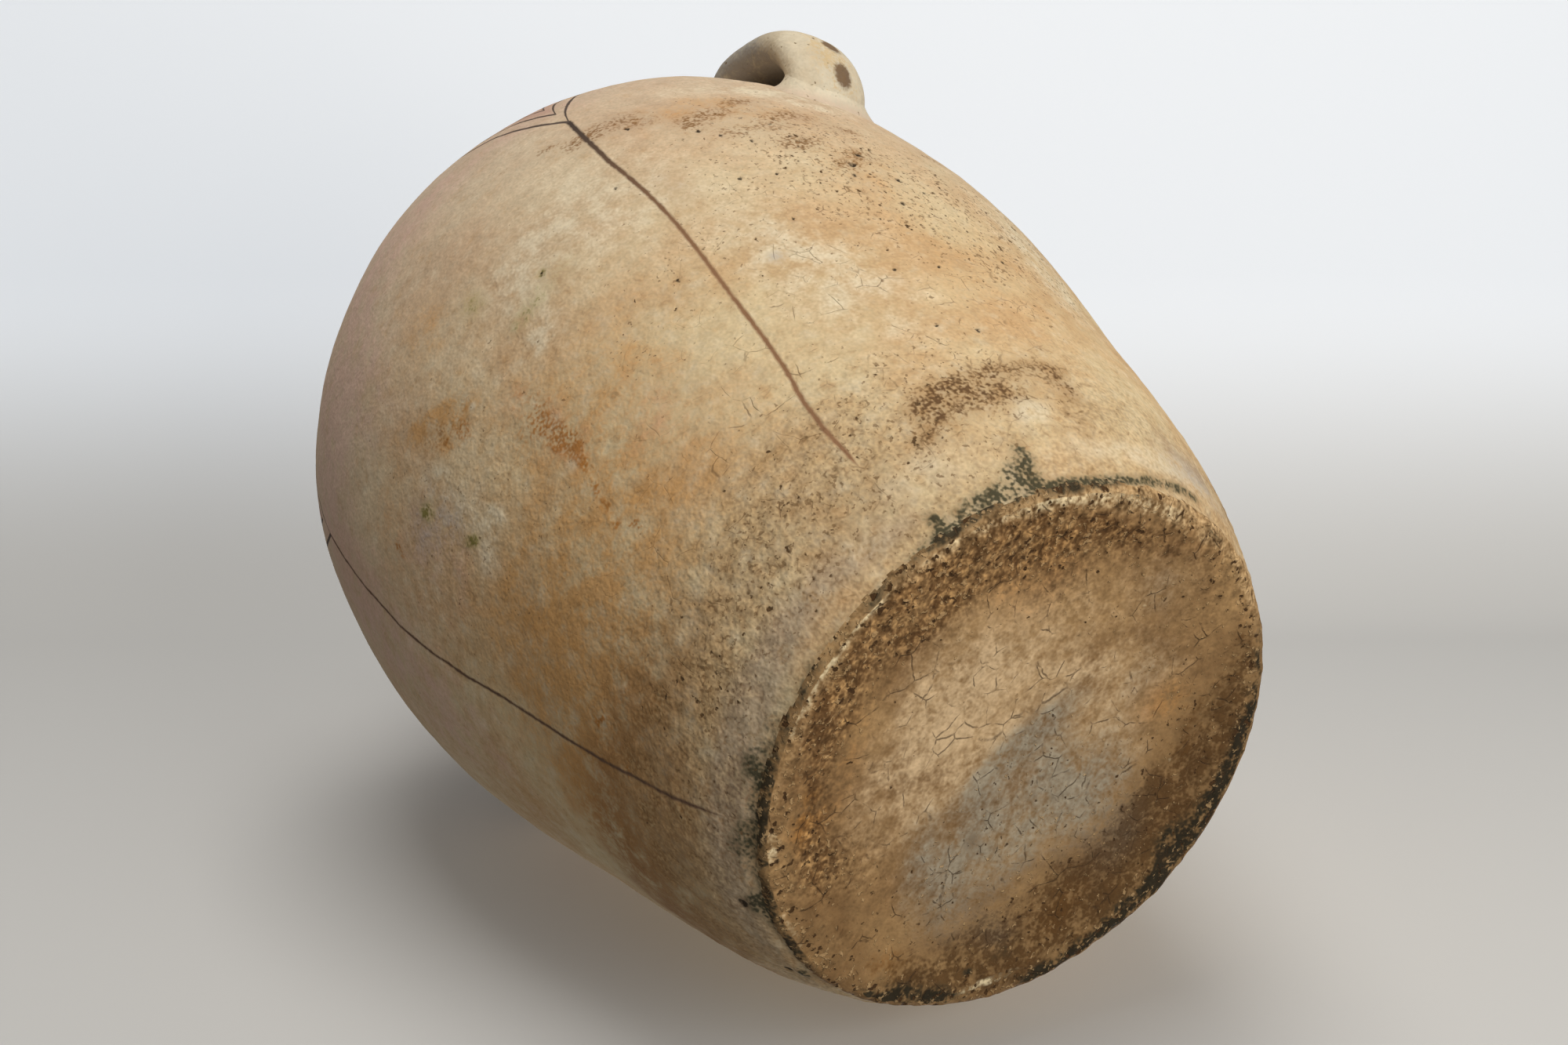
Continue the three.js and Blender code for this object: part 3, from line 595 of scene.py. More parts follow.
# Where the wall is stained, each oval as azimuth in degrees, length along the outline, half width,
# half height, turn and strength. Low on the side away from the light, between azimuths -150 and -90,
# the tan and umber ovals are partly painted shade where the floor shaded the jar, and the pink ovals
# on that side are partly a painted warm tint of light bounced off the floor.
WALL_STAINS = {
    "tan": [(-26, 285, 40, 18, 0, 0.5), (-16, 262, 44, 18, -8, 0.4), (-12, 205, 30, 30, 0, 0.4),
            (-10, 135, 34, 50, 0, 0.3), (-58, 140, 20, 40, 0, 0.4), (-70, 140, 26, 50, -8, 0.7),
            (-83, 222, 7, 30, 42, 1.1), (-100, 232, 30, 20, 0, 0.4), (-100, 100, 60, 60, 0, 0.9),
            (-74, 258, 20, 22, 0, 0.5), (-122, 72, 66, 36, 0, 0.8), (-62, 75, 50, 34, 0, 0.35),
            (-76, 170, 10, 16, 0, 0.5), (-90, 180, 40, 120, 0, 0.2), (-52, 190, 14, 30, 0, 0.2),
            (-82, 212, 12, 8, 20, 0.7), (-30, 50, 40, 20, 0, 0.25), (-112, 285, 18, 44, 0, 0.6),
            (70, 160, 60, 50, 20, 0.6), (140, 90, 70, 40, -10, 0.6), (165, 260, 60, 40, 0, 0.5),
            (95, 300, 40, 30, 0, 0.4), (-60, 430, 60, 30, 10, 0.5), (40, 460, 50, 20, 0, 0.5),
            (140, 420, 70, 30, -10, 0.5), (-150, 470, 50, 24, 0, 0.5)],
    "umber_and_floor_shade": [(-112, 62, 60, 26, 0, 0.7), (-130, 62, 50, 40, 0, 0.85), (-92, 54, 46, 22, 0, 0.35),
              (-70, 48, 50, 14, 0, 0.2), (-52, 30, 40, 18, 0, 0.5), (-26, 44, 30, 16, 0, 0.25),
              (-126, 42, 56, 10, 0, 0.8), (-36, 288, 22, 12, -20, 0.2), (150, 60, 80, 26, 0, 0.6),
              (60, 566, 50, 10, 0, 0.5), (-120, 570, 60, 10, 0, 0.5), (-146, 66, 40, 40, 0, 0.6)],
    "pink": [(-100, 320, 60, 34, 0, 0.8), (-70, 345, 70, 30, 0, 0.8), (-114, 270, 34, 50, 0, 0.75),
             (-125, 200, 44, 70, 0, 0.6), (-88, 290, 34, 34, 0, 0.55), (-40, 345, 40, 20, 0, 0.5),
             (-74, 165, 14, 34, 0, 0.4), (-62, 120, 30, 40, 0, 0.3), (-97, 195, 24, 40, 0, 0.5),
             (80, 380, 60, 40, 0, 0.6), (170, 360, 70, 40, 0, 0.6)],
    "pale": [(-47, 235, 44, 54, 0, 0.7), (-28, 112, 34, 40, 10, 0.65), (-32, 165, 24, 34, 0, 0.6),
             (-12, 306, 60, 13, -5, 0.9), (-90, 187, 13, 34, 0, 0.7), (-95, 160, 20, 10, 0, 0.5),
             (-62, 225, 25, 30, 0, 0.6), (-16.5, 37, 10, 8, 0, 1.1), (-2, 18, 44, 7, 0, 0.8),
             (14, 165, 26, 60, 0, 0.9), (-7, 285, 26, 16, 0, 0.7), (-66, 193, 14, 15, 0, 0.6),
             (18, 22, 28, 10, 0, 0.8), (-40, 26, 26, 12, 0, 0.7), (-50, 330, 40, 20, 0, 0.4),
             (-88, 205, 4, 5, 0, 0.9), (-78, 203, 3, 2.5, 0, 1.0), (-16, 150, 18, 26, 0, 0.3),
             (-72.5, 157, 5, 4, 0, 0.8), (-75, 138, 6, 4, 0, 0.7), (-88, 165, 5, 8, 20, 0.6),
             (60, 240, 50, 60, 0, 0.5), (120, 180, 50, 50, 0, 0.5), (180, 150, 40, 60, 0, 0.5),
             (-30, 480, 60, 26, 0, 0.6), (100, 500, 50, 24, 0, 0.6), (-140, 400, 50, 30, 0, 0.6)],
    "grey": [(-118, 15, 64, 12, 0, 1.0), (-88, 16, 44, 10, 0, 0.8), (-34, 152, 6, 5, 0, 0.7),
             (-110, 290, 60, 40, 0, 0.2), (-140, 140, 50, 120, 0, 0.4), (20, 27, 32, 16, 0, 1.0),
             (-66, 20, 40, 8, 0, 0.6), (-95, 205, 24, 18, 0, 0.6), (-38, 215, 14, 26, 0, 0.4),
             (-88, 250, 30, 30, 0, 0.35), (-93, 185, 10, 14, 0, 0.5), (-52, 13, 20, 5, 0, 0.6),
             (110, 20, 60, 12, 0, 0.6), (170, 25, 40, 14, 0, 0.5),
             (0, 540, 60, 10, 0, 0.6), (180, 540, 60, 10, 0, 0.6)],
    "olive": [(-94, 207, 3, 5, 0, 1.0), (-93, 173, 3, 6, 30, 1.0), (-65, 208, 10, 6, 0, 0.5),
              (-68, 240, 8, 10, 0, 0.5), (-59, 219, 2, 2, 0, 0.8), (-93, 205, 6, 6, 0, 0.4),
              (-58, 212, 16, 12, 0, 0.35), (130, 240, 8, 6, 0, 0.5)],
    "rust": [(-73.4, 151, 6, 8, 0, 1.0), (-72.8, 142, 4, 5, 0, 0.9), (-74, 133, 3, 6, 0, 0.8),
             (-74, 165, 7, 6, 20, 0.6), (-75.6, 121, 2.5, 4, 0, 0.8), (-76, 95, 2.5, 3, 0, 1.2),
             (-76.6, 112, 2, 4, 0, 0.8), (-77.5, 102, 2, 3, 0, 0.8), (-105, 80, 3, 6, 30, 0.9),
             (-110.5, 64, 3, 2, 0, 0.9), (-81, 203, 4, 6, 0, 0.6), (-78, 210, 5, 5, 0, 0.5),
             (-72, 178, 9, 13, 0, 0.35), (-78, 168, 9, 7, 0, 0.3), (-101.5, 223, 2.5, 6, -20, 0.9),
             (-73, 158, 14, 26, 0, 0.2), (-84, 208, 12, 22, 30, 0.35), (-88, 100, 40, 30, 0, 0.25),
             (60, 190, 4, 6, 0, 0.8)],
    "smudge": [(-37, 296, 16, 9, 0, 0.8), (-34, 282, 12, 9, 0, 0.7), (-42, 288, 12, 8, 0, 0.9),
               (-29, 264, 9, 9, 0, 0.7), (-25, 272, 12, 7, 10, 0.9), (-19, 284, 10, 6, 0, 0.9),
               (-25, 246, 10, 8, 0, 0.5), (-19, 250, 10, 8, 0, 0.5), (-14, 262, 12, 7, 0, 0.8),
               (-8, 248, 12, 7, 0, 0.7), (8, 250, 14, 7, 10, 0.9), (-18, 228, 12, 9, 0, 0.8),
               (-14, 206, 8, 8, 0, 0.9), (-10, 217, 9, 8, 0, 0.9), (-47, 167, 3, 3, 0, 0.6),
               (-52, 306, 6, 4, 0, 0.5), (-46, 300, 8, 5, 0, 0.7), (-4, 180, 16, 26, 0, 0.25),
               (-20, 255, 44, 30, 0, 0.3), (-84, 216, 8, 16, 30, 0.7), (-6, 72, 10, 6, 0, 0.5),
               (20, 520, 10, 6, 0, 0.8), (-70, 500, 9, 7, 0, 0.8), (150, 470, 12, 9, 0, 0.8)],
    "grime": [(-31, 50, 12, 10, 0, 0.95), (-33.5, 45, 6, 5, 0, 0.4), (-25, 57, 10, 6, 0, 0.5),
              (-17, 59, 12, 6, 0, 0.45), (-9, 60, 10, 6, 0, 0.6), (-6.5, 49, 6, 9, 0, 0.7),
              (-20.5, 47, 12, 8, 0, 0.55), (-36, 38, 7, 4, 0, 0.5), (-13, 27, 6, 3, 0, 0.5),
              (-8, 24, 5, 3, 0, 0.5), (-19, 50, 34, 17, 0, 0.37), (120, 50, 20, 8, 20, 0.8)],
    "mould": [(-28, 7, 13, 4.5, 0, 1.1), (-26, 13, 7, 5, 0, 1.0), (-23, 19, 4, 6, 25, 0.8),
              (-34, 6.5, 11, 3.6, -10, 0.9), (-39, 4, 12, 3.2, 0, 0.8), (-45, 3, 14, 3, 0, 0.7),
              (-18, 3.5, 16, 3.2, 0, 1.0), (-8, 4.5, 14, 2.8, 4, 0.8), (3, 7, 14, 2.6, 8, 0.75),
              (14, 9, 16, 2.6, 4, 0.7), (-20, 25, 4, 4, 0, 0.4),
              (-58, 2, 18, 4, 0, 0.5), (-80, 2, 26, 4.4, 0, 0.6), (-104, 2.5, 28, 5, 0, 0.75),
              (-127, 8, 6, 4, 0, 1.0), (-150, 10, 7, 4, 0, 1.0), (-133, 2, 30, 4.5, 0, 0.9),
              (-76, 14, 7, 5, 0, 0.4), (-96, 11, 8, 4, 0, 0.5), (-88, 8, 14, 3, 0, 0.45),
              (-116, 9, 14, 3.5, 0, 0.55), (-43.5, 8, 2.5, 6, 20, 1.2), (70, 5, 40, 5, 0, 0.8),
              (120, 5, 50, 5, 0, 0.9), (170, 4, 40, 4, 0, 0.8), (-98.5, 6, 6, 5, 0, 0.5),
              (-104, 4, 6, 5, 0, 0.4), (-110, 9, 6, 4, 0, 0.4), (-114, 14, 6, 4, 0, 0.5),
              (3, 215, 8, 80, 0, 0.3), (8, 110, 8, 30, 0, 0.3)],
    "pitted": [(-15, 230, 64, 76, 0, 1.0), (0, 150, 50, 60, 0, 0.9), (-30, 60, 60, 34, 0, 0.7),
               (-75, 34, 120, 34, 0, 1.0), (-45, 160, 60, 60, 0, 0.45), (-90, 180, 70, 70, 0, 0.5),
               (20, 200, 40, 90, 0, 0.8), (100, 180, 80, 80, 0, 0.6), (-60, 480, 90, 70, 0, 0.6),
               (120, 480, 90, 70, 0, 0.6)],
    "wrinkled": [(-92, 150, 130, 110, 0, 1.0), (150, 160, 160, 120, 0, 0.8)],
    "crazed": [(-22, 115, 80, 70, 0, 1.0), (-15, 200, 60, 60, 0, 0.7), (-55, 70, 60, 50, 0, 0.7),
               (90, 200, 100, 90, 0, 0.6), (-100, 60, 70, 40, 0, 0.6), (-25, 55, 24, 20, 0, 1.0)],
}
wall_stains = {stain: soft_ovals(wall_offset, ovals) for stain, ovals in WALL_STAINS.items()}

# Pits where grit has popped out of the wall: azimuth, length along the outline and radius.
PITS = [
    (-10.5, 218, 2.0), (-13, 208, 2.4), (-14, 199, 1.8), (-10, 176, 1.8), (-8, 158, 1.3), (-16, 166, 1.2),
    (-20, 128, 1.5), (-12.5, 128, 1.2), (-30, 208, 1.5), (-7, 198, 2.0), (-25, 205, 1.2), (-44, 237, 1.2),
    (-28, 172, 1.2), (2, 142, 1.6), (-2, 150, 1.2), (-15, 84, 1.6), (-21, 90, 1.4), (-47, 166, 1.4),
    (-59, 219, 1.4), (-29, 256, 1.8), (-27, 247, 1.4), (-22, 262, 1.5), (-19, 252, 1.3), (-24, 236, 1.5),
    (-128, 14, 2.6), (-150, 17, 2.6), (6, 250, 1.8), (9, 226, 1.5), (-4, 190, 1.5), (-36, 281, 1.6),
]
wall_stains["pit"] = soft_ovals(wall_offset, [(turn, length, radius, radius, 0, 1.0)
                                              for turn, length, radius in PITS])

# Weather has bared the grit in patches, less and less between two lengths along the outline.
GRITTY_LENGTHS = (8.0, 120.0)
WEATHER_PATCH = 55.0
weather = 0.55 + 0.6 * lattice_noise(smooth_wall, WEATHER_PATCH)
wall_stains["gritty"] = np.clip((1 - soft_step(*GRITTY_LENGTHS, wall_length)) * (0.7 + weather), 0, 1)
wall_stains["gritty"] *= 1 - 0.5 * wall_stains["pale"]
wall_stains["scratched"] = np.clip(0.35 * wall_stains["gritty"] + 1.2 * wall_stains["grime"]
                                   + 0.25 * wall_stains["wrinkled"] + 0.2 * wall_stains["pitted"], 0, 1)

# Lumps of the wall by height and cell size in mm.
SWELL = [(0.9, 90.0), (0.4, 31.0)]
SCRAPED = [(0.22, 13.0)]
FINE = [(0.12, 7.3), (0.07, 3.6)]
COARSE = [(0.34, 6.0), (0.24, 3.0)]
CHIPPED = [(0.3, 19.0), (0.25, 4.5)]
EATEN = [(0.7, 4.0)]
GROOVE_WAVER = [(0.5, 24.0)]
GROOVE_LENGTH = 5.5
GROOVE_WIDTH = 3.0
GROOVE_DEPTH = 1.3
EDGE_WEAR = 2.2
EDGE_WEAR_LENGTH = 2.0
PIT_DEPTH = 0.9


def wall_relief():
    """How far the wall stands out of its smooth form, in mm: the slow swell of hand building, the
    marks of coils and scraping, grit that weather has bared near the foot, the groove above the foot,
    the worn edge of the foot, what grime has eaten away, and pits."""
    scraped = clay_lumps(smooth_wall * (0.25, 0.25, 1.0), SCRAPED)
    fine = clay_lumps(smooth_wall, FINE) * (1 + wall_stains["wrinkled"])
    coarse = clay_lumps(smooth_wall, COARSE) * wall_stains["gritty"]
    groove = GROOVE_DEPTH * np.exp(-((wall_length - GROOVE_LENGTH) / GROOVE_WIDTH) ** 2)
    groove = groove * (0.75 + clay_lumps(smooth_wall, GROOVE_WAVER))
    worn = EDGE_WEAR * np.exp(-wall_length / EDGE_WEAR_LENGTH) * (1 + clay_lumps(smooth_wall, CHIPPED))
    relief = clay_lumps(smooth_wall, SWELL) + scraped + fine + coarse - groove - worn
    eaten = wall_stains["grime"] * np.abs(clay_lumps(smooth_wall, EATEN))
    return relief - eaten - PIT_DEPTH * wall_stains["pit"]


wall = smooth_wall + wall_relief()[..., None] * wall_normal
wall_shading = grid_shading(wall)

# Five painted lines run down from the points of five pendant triangles on the shoulder. Each is given
# by azimuth and length along the outline, from the bottom up. The two that show are followed closely.
LINE_LENGTHS = np.array([15, 42, 62, 78, 95, 115, 145, 170, 195, 220, 260, 290, 318])
FRONT_LINE = np.array([-47.2, -47.2, -47.2, -46.5, -45, -44, -43, -42.2, -41.6, -41.5, -41.7, -41.2, -40.5])
SIDE_LINE = np.array([-109, -110.3, -110.8, -111.4, -112, -112.3, -112.7, -113.4, -113.3, -113.2, -112.3,
                      -112, -111.5])
LINE_TURNS = [(FRONT_LINE, 0), (SIDE_LINE, 0), (SIDE_LINE, 144), (FRONT_LINE, 144), (SIDE_LINE, 288)]
# A line tapers off round its lower end, and swells and ages between two lengths along the outline. Its
# ink is brown at age 0 and dark at age 1. Half widths are in mm, and below zero where nothing is drawn.
FRONT_END = 29.0
SIDE_END = 5.0
FRONT_HALF = 0.95
FRONT_SWELL = 0.35
FRONT_SWELL_LENGTHS = (180.0, 310.0)
FRONT_AGE_LENGTHS = (150.0, 330.0)
SIDE_HALF = 0.75
SIDE_AGE = 0.65
RING_AGE = 0.8
LINE_TAPER = (-8.0, 26.0)
TAPERED_HALF = -2.0
UNDRAWN_HALF = -3.0
FAR = 1000.0
CHEVRON_POINT = 316.0
CHEVRON_LEFT_RISE = 1.42
CHEVRON_RIGHT_RISE = 1.7
CHEVRON_HOOK = 11.0
CHEVRON_HOOK_WIDTH = 2.4
CHEVRON_TOP = 445.0


def painted_lines():
    """Adds the signed distance to the nearest painted line, its half width, its age, and the level
    above the nearest triangle's lower edge to the wall's stains. A triangle's left edge is straight,
    and its right one starts with a hook: rise = slope x + hook (1 - exp(-x / width)). One more line
    runs round the shoulder, and the triangles hang from it."""
    distance = np.full(wall.shape[:2], FAR)
    half = np.zeros(wall.shape[:2])
    age = np.zeros(wall.shape[:2])
    level = np.full(wall.shape[:2], -FAR)
    for line, turn in LINE_TURNS:
        is_front = line is FRONT_LINE
        degrees = np.interp(wall_length, LINE_LENGTHS, line) + turn
        across = wall_offset(degrees, 0.0)[0]
        nearer = np.abs(across) < np.abs(distance)
        end = FRONT_END if is_front else SIDE_END
        drawn = soft_step(*LINE_TAPER, wall_length - end)
        swell = FRONT_SWELL * soft_step(*FRONT_SWELL_LENGTHS, wall_length)
        thick = FRONT_HALF + swell if is_front else SIDE_HALF
        width = thick * drawn + TAPERED_HALF * (1 - drawn)
        width = np.where(wall_length > CHEVRON_POINT + 2, UNDRAWN_HALF, width)
        hook = CHEVRON_HOOK * (1 - np.exp(-np.abs(across) / CHEVRON_HOOK_WIDTH))
        edge = np.where(across < 0, CHEVRON_LEFT_RISE * -across, CHEVRON_RIGHT_RISE * across + hook)
        old = soft_step(*FRONT_AGE_LENGTHS, wall_length) if is_front else SIDE_AGE
        distance = np.where(nearer, across, distance)
        half = np.where(nearer, width, half)
        age = np.where(nearer, old, age)
        level = np.where(nearer, wall_length - CHEVRON_POINT - edge, level)
    ring = wall_length - CHEVRON_TOP
    nearer = np.abs(ring) < np.abs(distance)
    distance = np.where(nearer, ring, distance)
    half = np.where(nearer, SIDE_HALF, half)
    age = np.where(nearer, RING_AGE, age)
    wall_stains["line_distance"] = distance
    wall_stains["line_half"] = half
    wall_stains["line_age"] = age
    wall_stains["chevron_level"] = np.where(wall_length > CHEVRON_TOP, -FAR, level)


painted_lines()

# Slipped terracotta: a wash of pale clay wiped over the jar while it was damp, then fired without a
# glaze. It is dull and chalky, thin enough for the clay to show as tan, and stained by damp and rust.
# On the side towards the floor some of its stains are partly painted shade and painted warm bounce
# light.

SLIP = "#d1b98f"
SLIP_WARM = "#c6a275"
SLIP_HIGH = "#cab49e"
SLIP_HIGH_HEIGHTS = (140.0, 440.0)
SLIP_THIN = "#b68a57"
SLIP_THICK = "#dccdae"
SLIP_PIT_COLOUR = "#5a432a"
SLIP_SPECK_COLOUR = "#6b4f30"
SLIP_SCRATCH_COLOUR = "#5d452b"
SLIP_CRAZE_COLOUR = "#6a5034"
INK_BROWN = "#8a6547"
INK_DARK = "#463a32"
CHEVRON_INK = "#5a4c42"
CHEVRON_WASH = "#b88a7c"
SLIP_LAYERS = [
    # On the side towards the floor the tan and umber layers are partly painted shade, and the pink partly a
    # painted warm tint of bounced light.
    ("tan", "#bb8a50", 1.0, 0.4, 0.1, 1.3, 0.8),
    ("pink", "#c7a593", 0.9, 0.3, 0.15, 1.1, 0.7),
    ("umber_and_floor_shade", "#885a2e", 0.7, 0.5, 0.1, 1.4, 0.75),
    ("pale", "#d9cbad", 1.1, 0.3, 0.2, 1.3, 0.7),
    ("grey", "#a2978c", 0.8, 0.5, 0.15, 1.3, 0.7),
    ("gritty", "#97713f", 1.2, 0.4, 0.3, 1.7, 0.5),
    ("gritty", "#6f5133", 0.4, -0.8, 0.1, 2.2, 0.5),
    ("gritty", "#dbc296", 0.4, 0.8, 0.2, 2.4, 0.45),
    ("smudge", "#79532b", 0.7, 1.5, 0.3, 1.6, 0.85),
    ("rust", "#9d6529", 0.5, 1.2, 0.25, 1.3, 0.85),
    ("olive", "#a3925a", 0.6, 0.5, 0.05, 0.8, 0.5),
    ("olive", "#6f662c", 0.5, 1.3, 0.35, 1.3, 0.88),
    ("grime", "#9a6f3c", 0.6, 0.6, 0.1, 1.3, 0.55),
    ("grime", "#4a2f19", 0.5, 1.6, 0.35, 1.7, 0.85),
    ("mould", "#7b7355", 0.8, 0.8, 0.15, 1.3, 0.5),
    ("mould", "#28291b", 0.5, 1.2, 0.25, 1.4, 0.88),
    ("pit", "#2e2318", 0.2, 0.6, 0.3, 0.8, 0.95),
]
# Noises, flecks, cracks and bumps, given as for the bare clay.
SLIP_BLOTCH = (60.0, 5.5, 0.62, 1.0)
SLIP_CLOUD = (13.0, 3.0, 0.62, 0.86)
SLIP_MOTTLE = (7.0, 2.5, 0.66, 0.82)
SLIP_LUMP = (3.6, 1.5, 0.66, 0.72)
SLIP_GRIT = (1.4, 0.5, 0.65, 0.6)
SLIP_PIT = (3.3, 1.25)
SLIP_SPECK = (2.0, 0.97)
SLIP_SCRATCH = (6.0, 0.4, 0.1)
SLIP_CRAZE = (13.0, 0.24, 0.0)
SLIP_BUMP = (0.28, 1.0)
CHEVRON_SPACING = 19.0
CHEVRON_HALF = 1.75
CHEVRON_SOFT = 0.55
CHEVRON_WASH_EDGE = 8.0


def slipped_terracotta():
    """Chalky slip over clay, with its clouds, stains, pits, crazing, painted lines and grain."""
    material, tree, surface, place = start_clay("slipped_terracotta")
    blotch = add_noise(tree, place, *SLIP_BLOTCH)
    cloud = add_noise(tree, place, *SLIP_CLOUD)
    mottle = add_noise(tree, place, *SLIP_MOTTLE)
    lumps = add_noise(tree, place, *SLIP_LUMP)
    grit = add_noise(tree, place, *SLIP_GRIT)
    grain = add_up(tree, grit, [(lumps, 0.6)])
    wrinkled, gritty, pitted, scratched, crazed, level, distance, half, age = (
        add_node(tree, "Attribute", {}, output="Fac", attribute_name=stain)
        for stain in ("wrinkled", "gritty", "pitted", "scratched", "crazed", "chevron_level",
                      "line_distance", "line_half", "line_age"))

    patch = add_node(tree, "MapRange", {"Value": blotch, "From Min": -0.5, "From Max": 0.5})
    height = add_node(tree, "SeparateXYZ", {0: place}, output=2)
    high = add_node(tree, "MapRange", {"Value": height, "From Min": SLIP_HIGH_HEIGHTS[0] * MM,
                                       "From Max": SLIP_HIGH_HEIGHTS[1] * MM})
    uneven = add_up(tree, 0.8, [(wrinkled, 0.8), (gritty, 0.7)])
    uneven = add_node(tree, "Math", {0: uneven, 1: mottle}, operation="MULTIPLY")
    thin = add_node(tree, "MapRange", {"Value": uneven, "From Min": 0.1, "From Max": 1.0, "To Max": 0.45})
    thick = add_node(tree, "MapRange", {"Value": uneven, "From Min": -0.1, "From Max": -1.0, "To Max": 0.4})
    colour = lay_over(tree, linear(SLIP_WARM), [(patch, linear(SLIP)), (high, linear(SLIP_HIGH)),
                                                (thin, linear(SLIP_THIN)), (thick, linear(SLIP_THICK))])
    colour = stain_over(tree, colour, cloud, grain, SLIP_LAYERS)
    colour = shade_by(tree, colour, [(cloud, 0.1), (lumps, 0.09), (grit, 0.13)])

    pitted = add_up(tree, pitted, [(cloud, 0.5)])
    pit = add_flecks(tree, place, *SLIP_PIT, pitted)
    speck = add_flecks(tree, place, *SLIP_SPECK, pitted)
    speck = add_node(tree, "Math", {0: speck, 1: 0.65}, operation="MULTIPLY")
    scratch = add_cracks(tree, place, *SLIP_SCRATCH, mottle)
    scratch = add_node(tree, "Math", {0: scratch, 1: scratched}, operation="MULTIPLY")
    scratch = add_node(tree, "Math", {0: scratch, 1: 0.7}, operation="MULTIPLY")
    craze = add_cracks(tree, place, *SLIP_CRAZE, cloud)
    craze = add_node(tree, "Math", {0: craze, 1: crazed}, operation="MULTIPLY")
    craze = add_node(tree, "Math", {0: craze, 1: 0.55}, operation="MULTIPLY")
    colour = lay_over(tree, colour, [(pit, linear(SLIP_PIT_COLOUR)), (speck, linear(SLIP_SPECK_COLOUR)),
                                     (scratch, linear(SLIP_SCRATCH_COLOUR)),
                                     (craze, linear(SLIP_CRAZE_COLOUR))])

    wavy = add_up(tree, level, [(lumps, 0.7)])
    washed = add_node(tree, "MapRange", {"Value": wavy, "From Min": CHEVRON_SPACING, "To Max": 0.45,
                                         "From Max": CHEVRON_SPACING + CHEVRON_WASH_EDGE})
    half_way = add_node(tree, "Math", {0: wavy, 1: CHEVRON_SPACING / 2}, operation="PINGPONG")
    near_line = add_node(tree, "MapRange", {"Value": half_way, "From Min": CHEVRON_HALF + CHEVRON_SOFT,
                                            "From Max": CHEVRON_HALF - CHEVRON_SOFT})
    started = add_node(tree, "MapRange", {"Value": level, "From Min": -2.5, "From Max": -1.5})
    band = add_node(tree, "Math", {0: near_line, 1: started}, operation="MULTIPLY")
    away = add_node(tree, "Math", {0: distance}, operation="ABSOLUTE")
    within = add_up(tree, half, [(away, -1.0), (lumps, 0.4)])
    stroke = add_node(tree, "MapRange", {"Value": within, "From Min": -0.5, "From Max": 0.5})
    ink = lay_over(tree, linear(INK_BROWN), [(age, linear(INK_DARK))])
    colour = lay_over(tree, colour, [(washed, linear(CHEVRON_WASH)), (stroke, ink),
                                     (band, linear(CHEVRON_INK))])

    rough = add_up(tree, 0.4, [(gritty, 0.5), (wrinkled, 0.4)])
    raised = add_up(tree, lumps, [(grit, 0.45)])
    raised = add_node(tree, "Math", {0: raised, 1: rough}, operation="MULTIPLY")
    raised = add_up(tree, raised, [(pit, -1.0), (craze, -1.0)])
    finish_clay(tree, surface, colour, raised, *SLIP_BUMP)
    return material


slip = slipped_terracotta()


def wall_inside(from_length, to_length, step):
    """Rings of the wall's inner face from one length along the outline to another."""
    count = max(2, int(np.ceil(abs(to_length - from_length) / step)) + 1)
    radius, height, out, up = outline_at(np.linspace(from_length, to_length, count)[:, None])
    return ring_points(radius - WALL_THICKNESS * out, height - WALL_THICKNESS * up)


PLAIN = {"chevron_level": -FAR, "line_half": -FAR}


def join_stains(ring_count, patches):
    """Stains of all rings of a piece, from patches that give a first ring and arrays by name. A later
    patch goes over an earlier one, and rings outside the patches are plain."""
    joined = {}
    for first, stains in patches:
        for stain, values in stains.items():
            if stain not in joined:
                joined[stain] = np.full((ring_count, COLUMNS), PLAIN.get(stain, 0.0))
            joined[stain][first:first + len(values)] = values
    return joined


def add_course(node, low_row, high_row, below, behind, below_stains, below_shading, materials):
    """Closes rings into a piece: rings below the wall, rows of the wall, and rings behind them. The
    wall's rows keep the wall's stains and shading, so that the joints between pieces don't show."""
    rings = np.concatenate([below, wall[low_row:high_row + 1], behind])
    outer = {stain: values[low_row:high_row + 1] for stain, values in wall_stains.items()}
    stains = join_stains(len(rings), [(0, below_stains), (len(below), outer)])
    shading = np.concatenate([below_shading, wall_shading[low_row:high_row + 1], grid_shading(behind)])
    faces = [grid_quads(len(rings), COLUMNS, True)]
    mesh = make_mesh(f"{node}_clay", rings.reshape(-1, 3), faces, stains, shading.reshape(-1, 3))
    return add_piece(node, mesh, materials)


# The foot coil is the ring of clay that the jar stands on, pressed round the slab. Its underside is
# bare, pale and crumbling, its outer edge is chipped, and mould has grown in the groove above it.

SEAT_ROWS = 3
SEAT_EDGE_HEIGHT = 5.0
SEAT_GAP = 0.3
BARE_EDGE = 3.2
BARE_EDGE_WAVER = [(1.3, 7.0), (1.3, 2.6)]

coil_rows = row_counts[0]
rim_share = np.linspace(0, 1, len(underside) - dish_rows + 1)[:, None, None]
underside[dish_rows - 1:] += rim_share ** 2 * (wall[0] - underside[-1])
underside_shading = grid_shading(underside)
rim = underside[dish_rows - 1:-1]
rim_stains = base_stains(np.concatenate([rim, wall[:coil_rows]]))
coil_inner = wall_inside(foot_joint + JOINT_CLIMB, foot_joint + JOINT_CLIMB, WALL_ROW)[:1]
seat_share = np.linspace(0, 1, SEAT_ROWS)[:, None]
seat = ring_points(slab_top_radius + SEAT_GAP + (DISH_RADIUS - slab_top_radius) * seat_share,
                   slab_top + (SEAT_EDGE_HEIGHT - slab_top) * seat_share)
foot = add_course("foot_coil", 0, coil_rows, rim, np.concatenate([coil_inner, seat]), rim_stains,
                  underside_shading[dish_rows - 1:-1], [bare_clay, slip])
bare_edge = BARE_EDGE + clay_lumps(wall[:coil_rows], BARE_EDGE_WAVER)
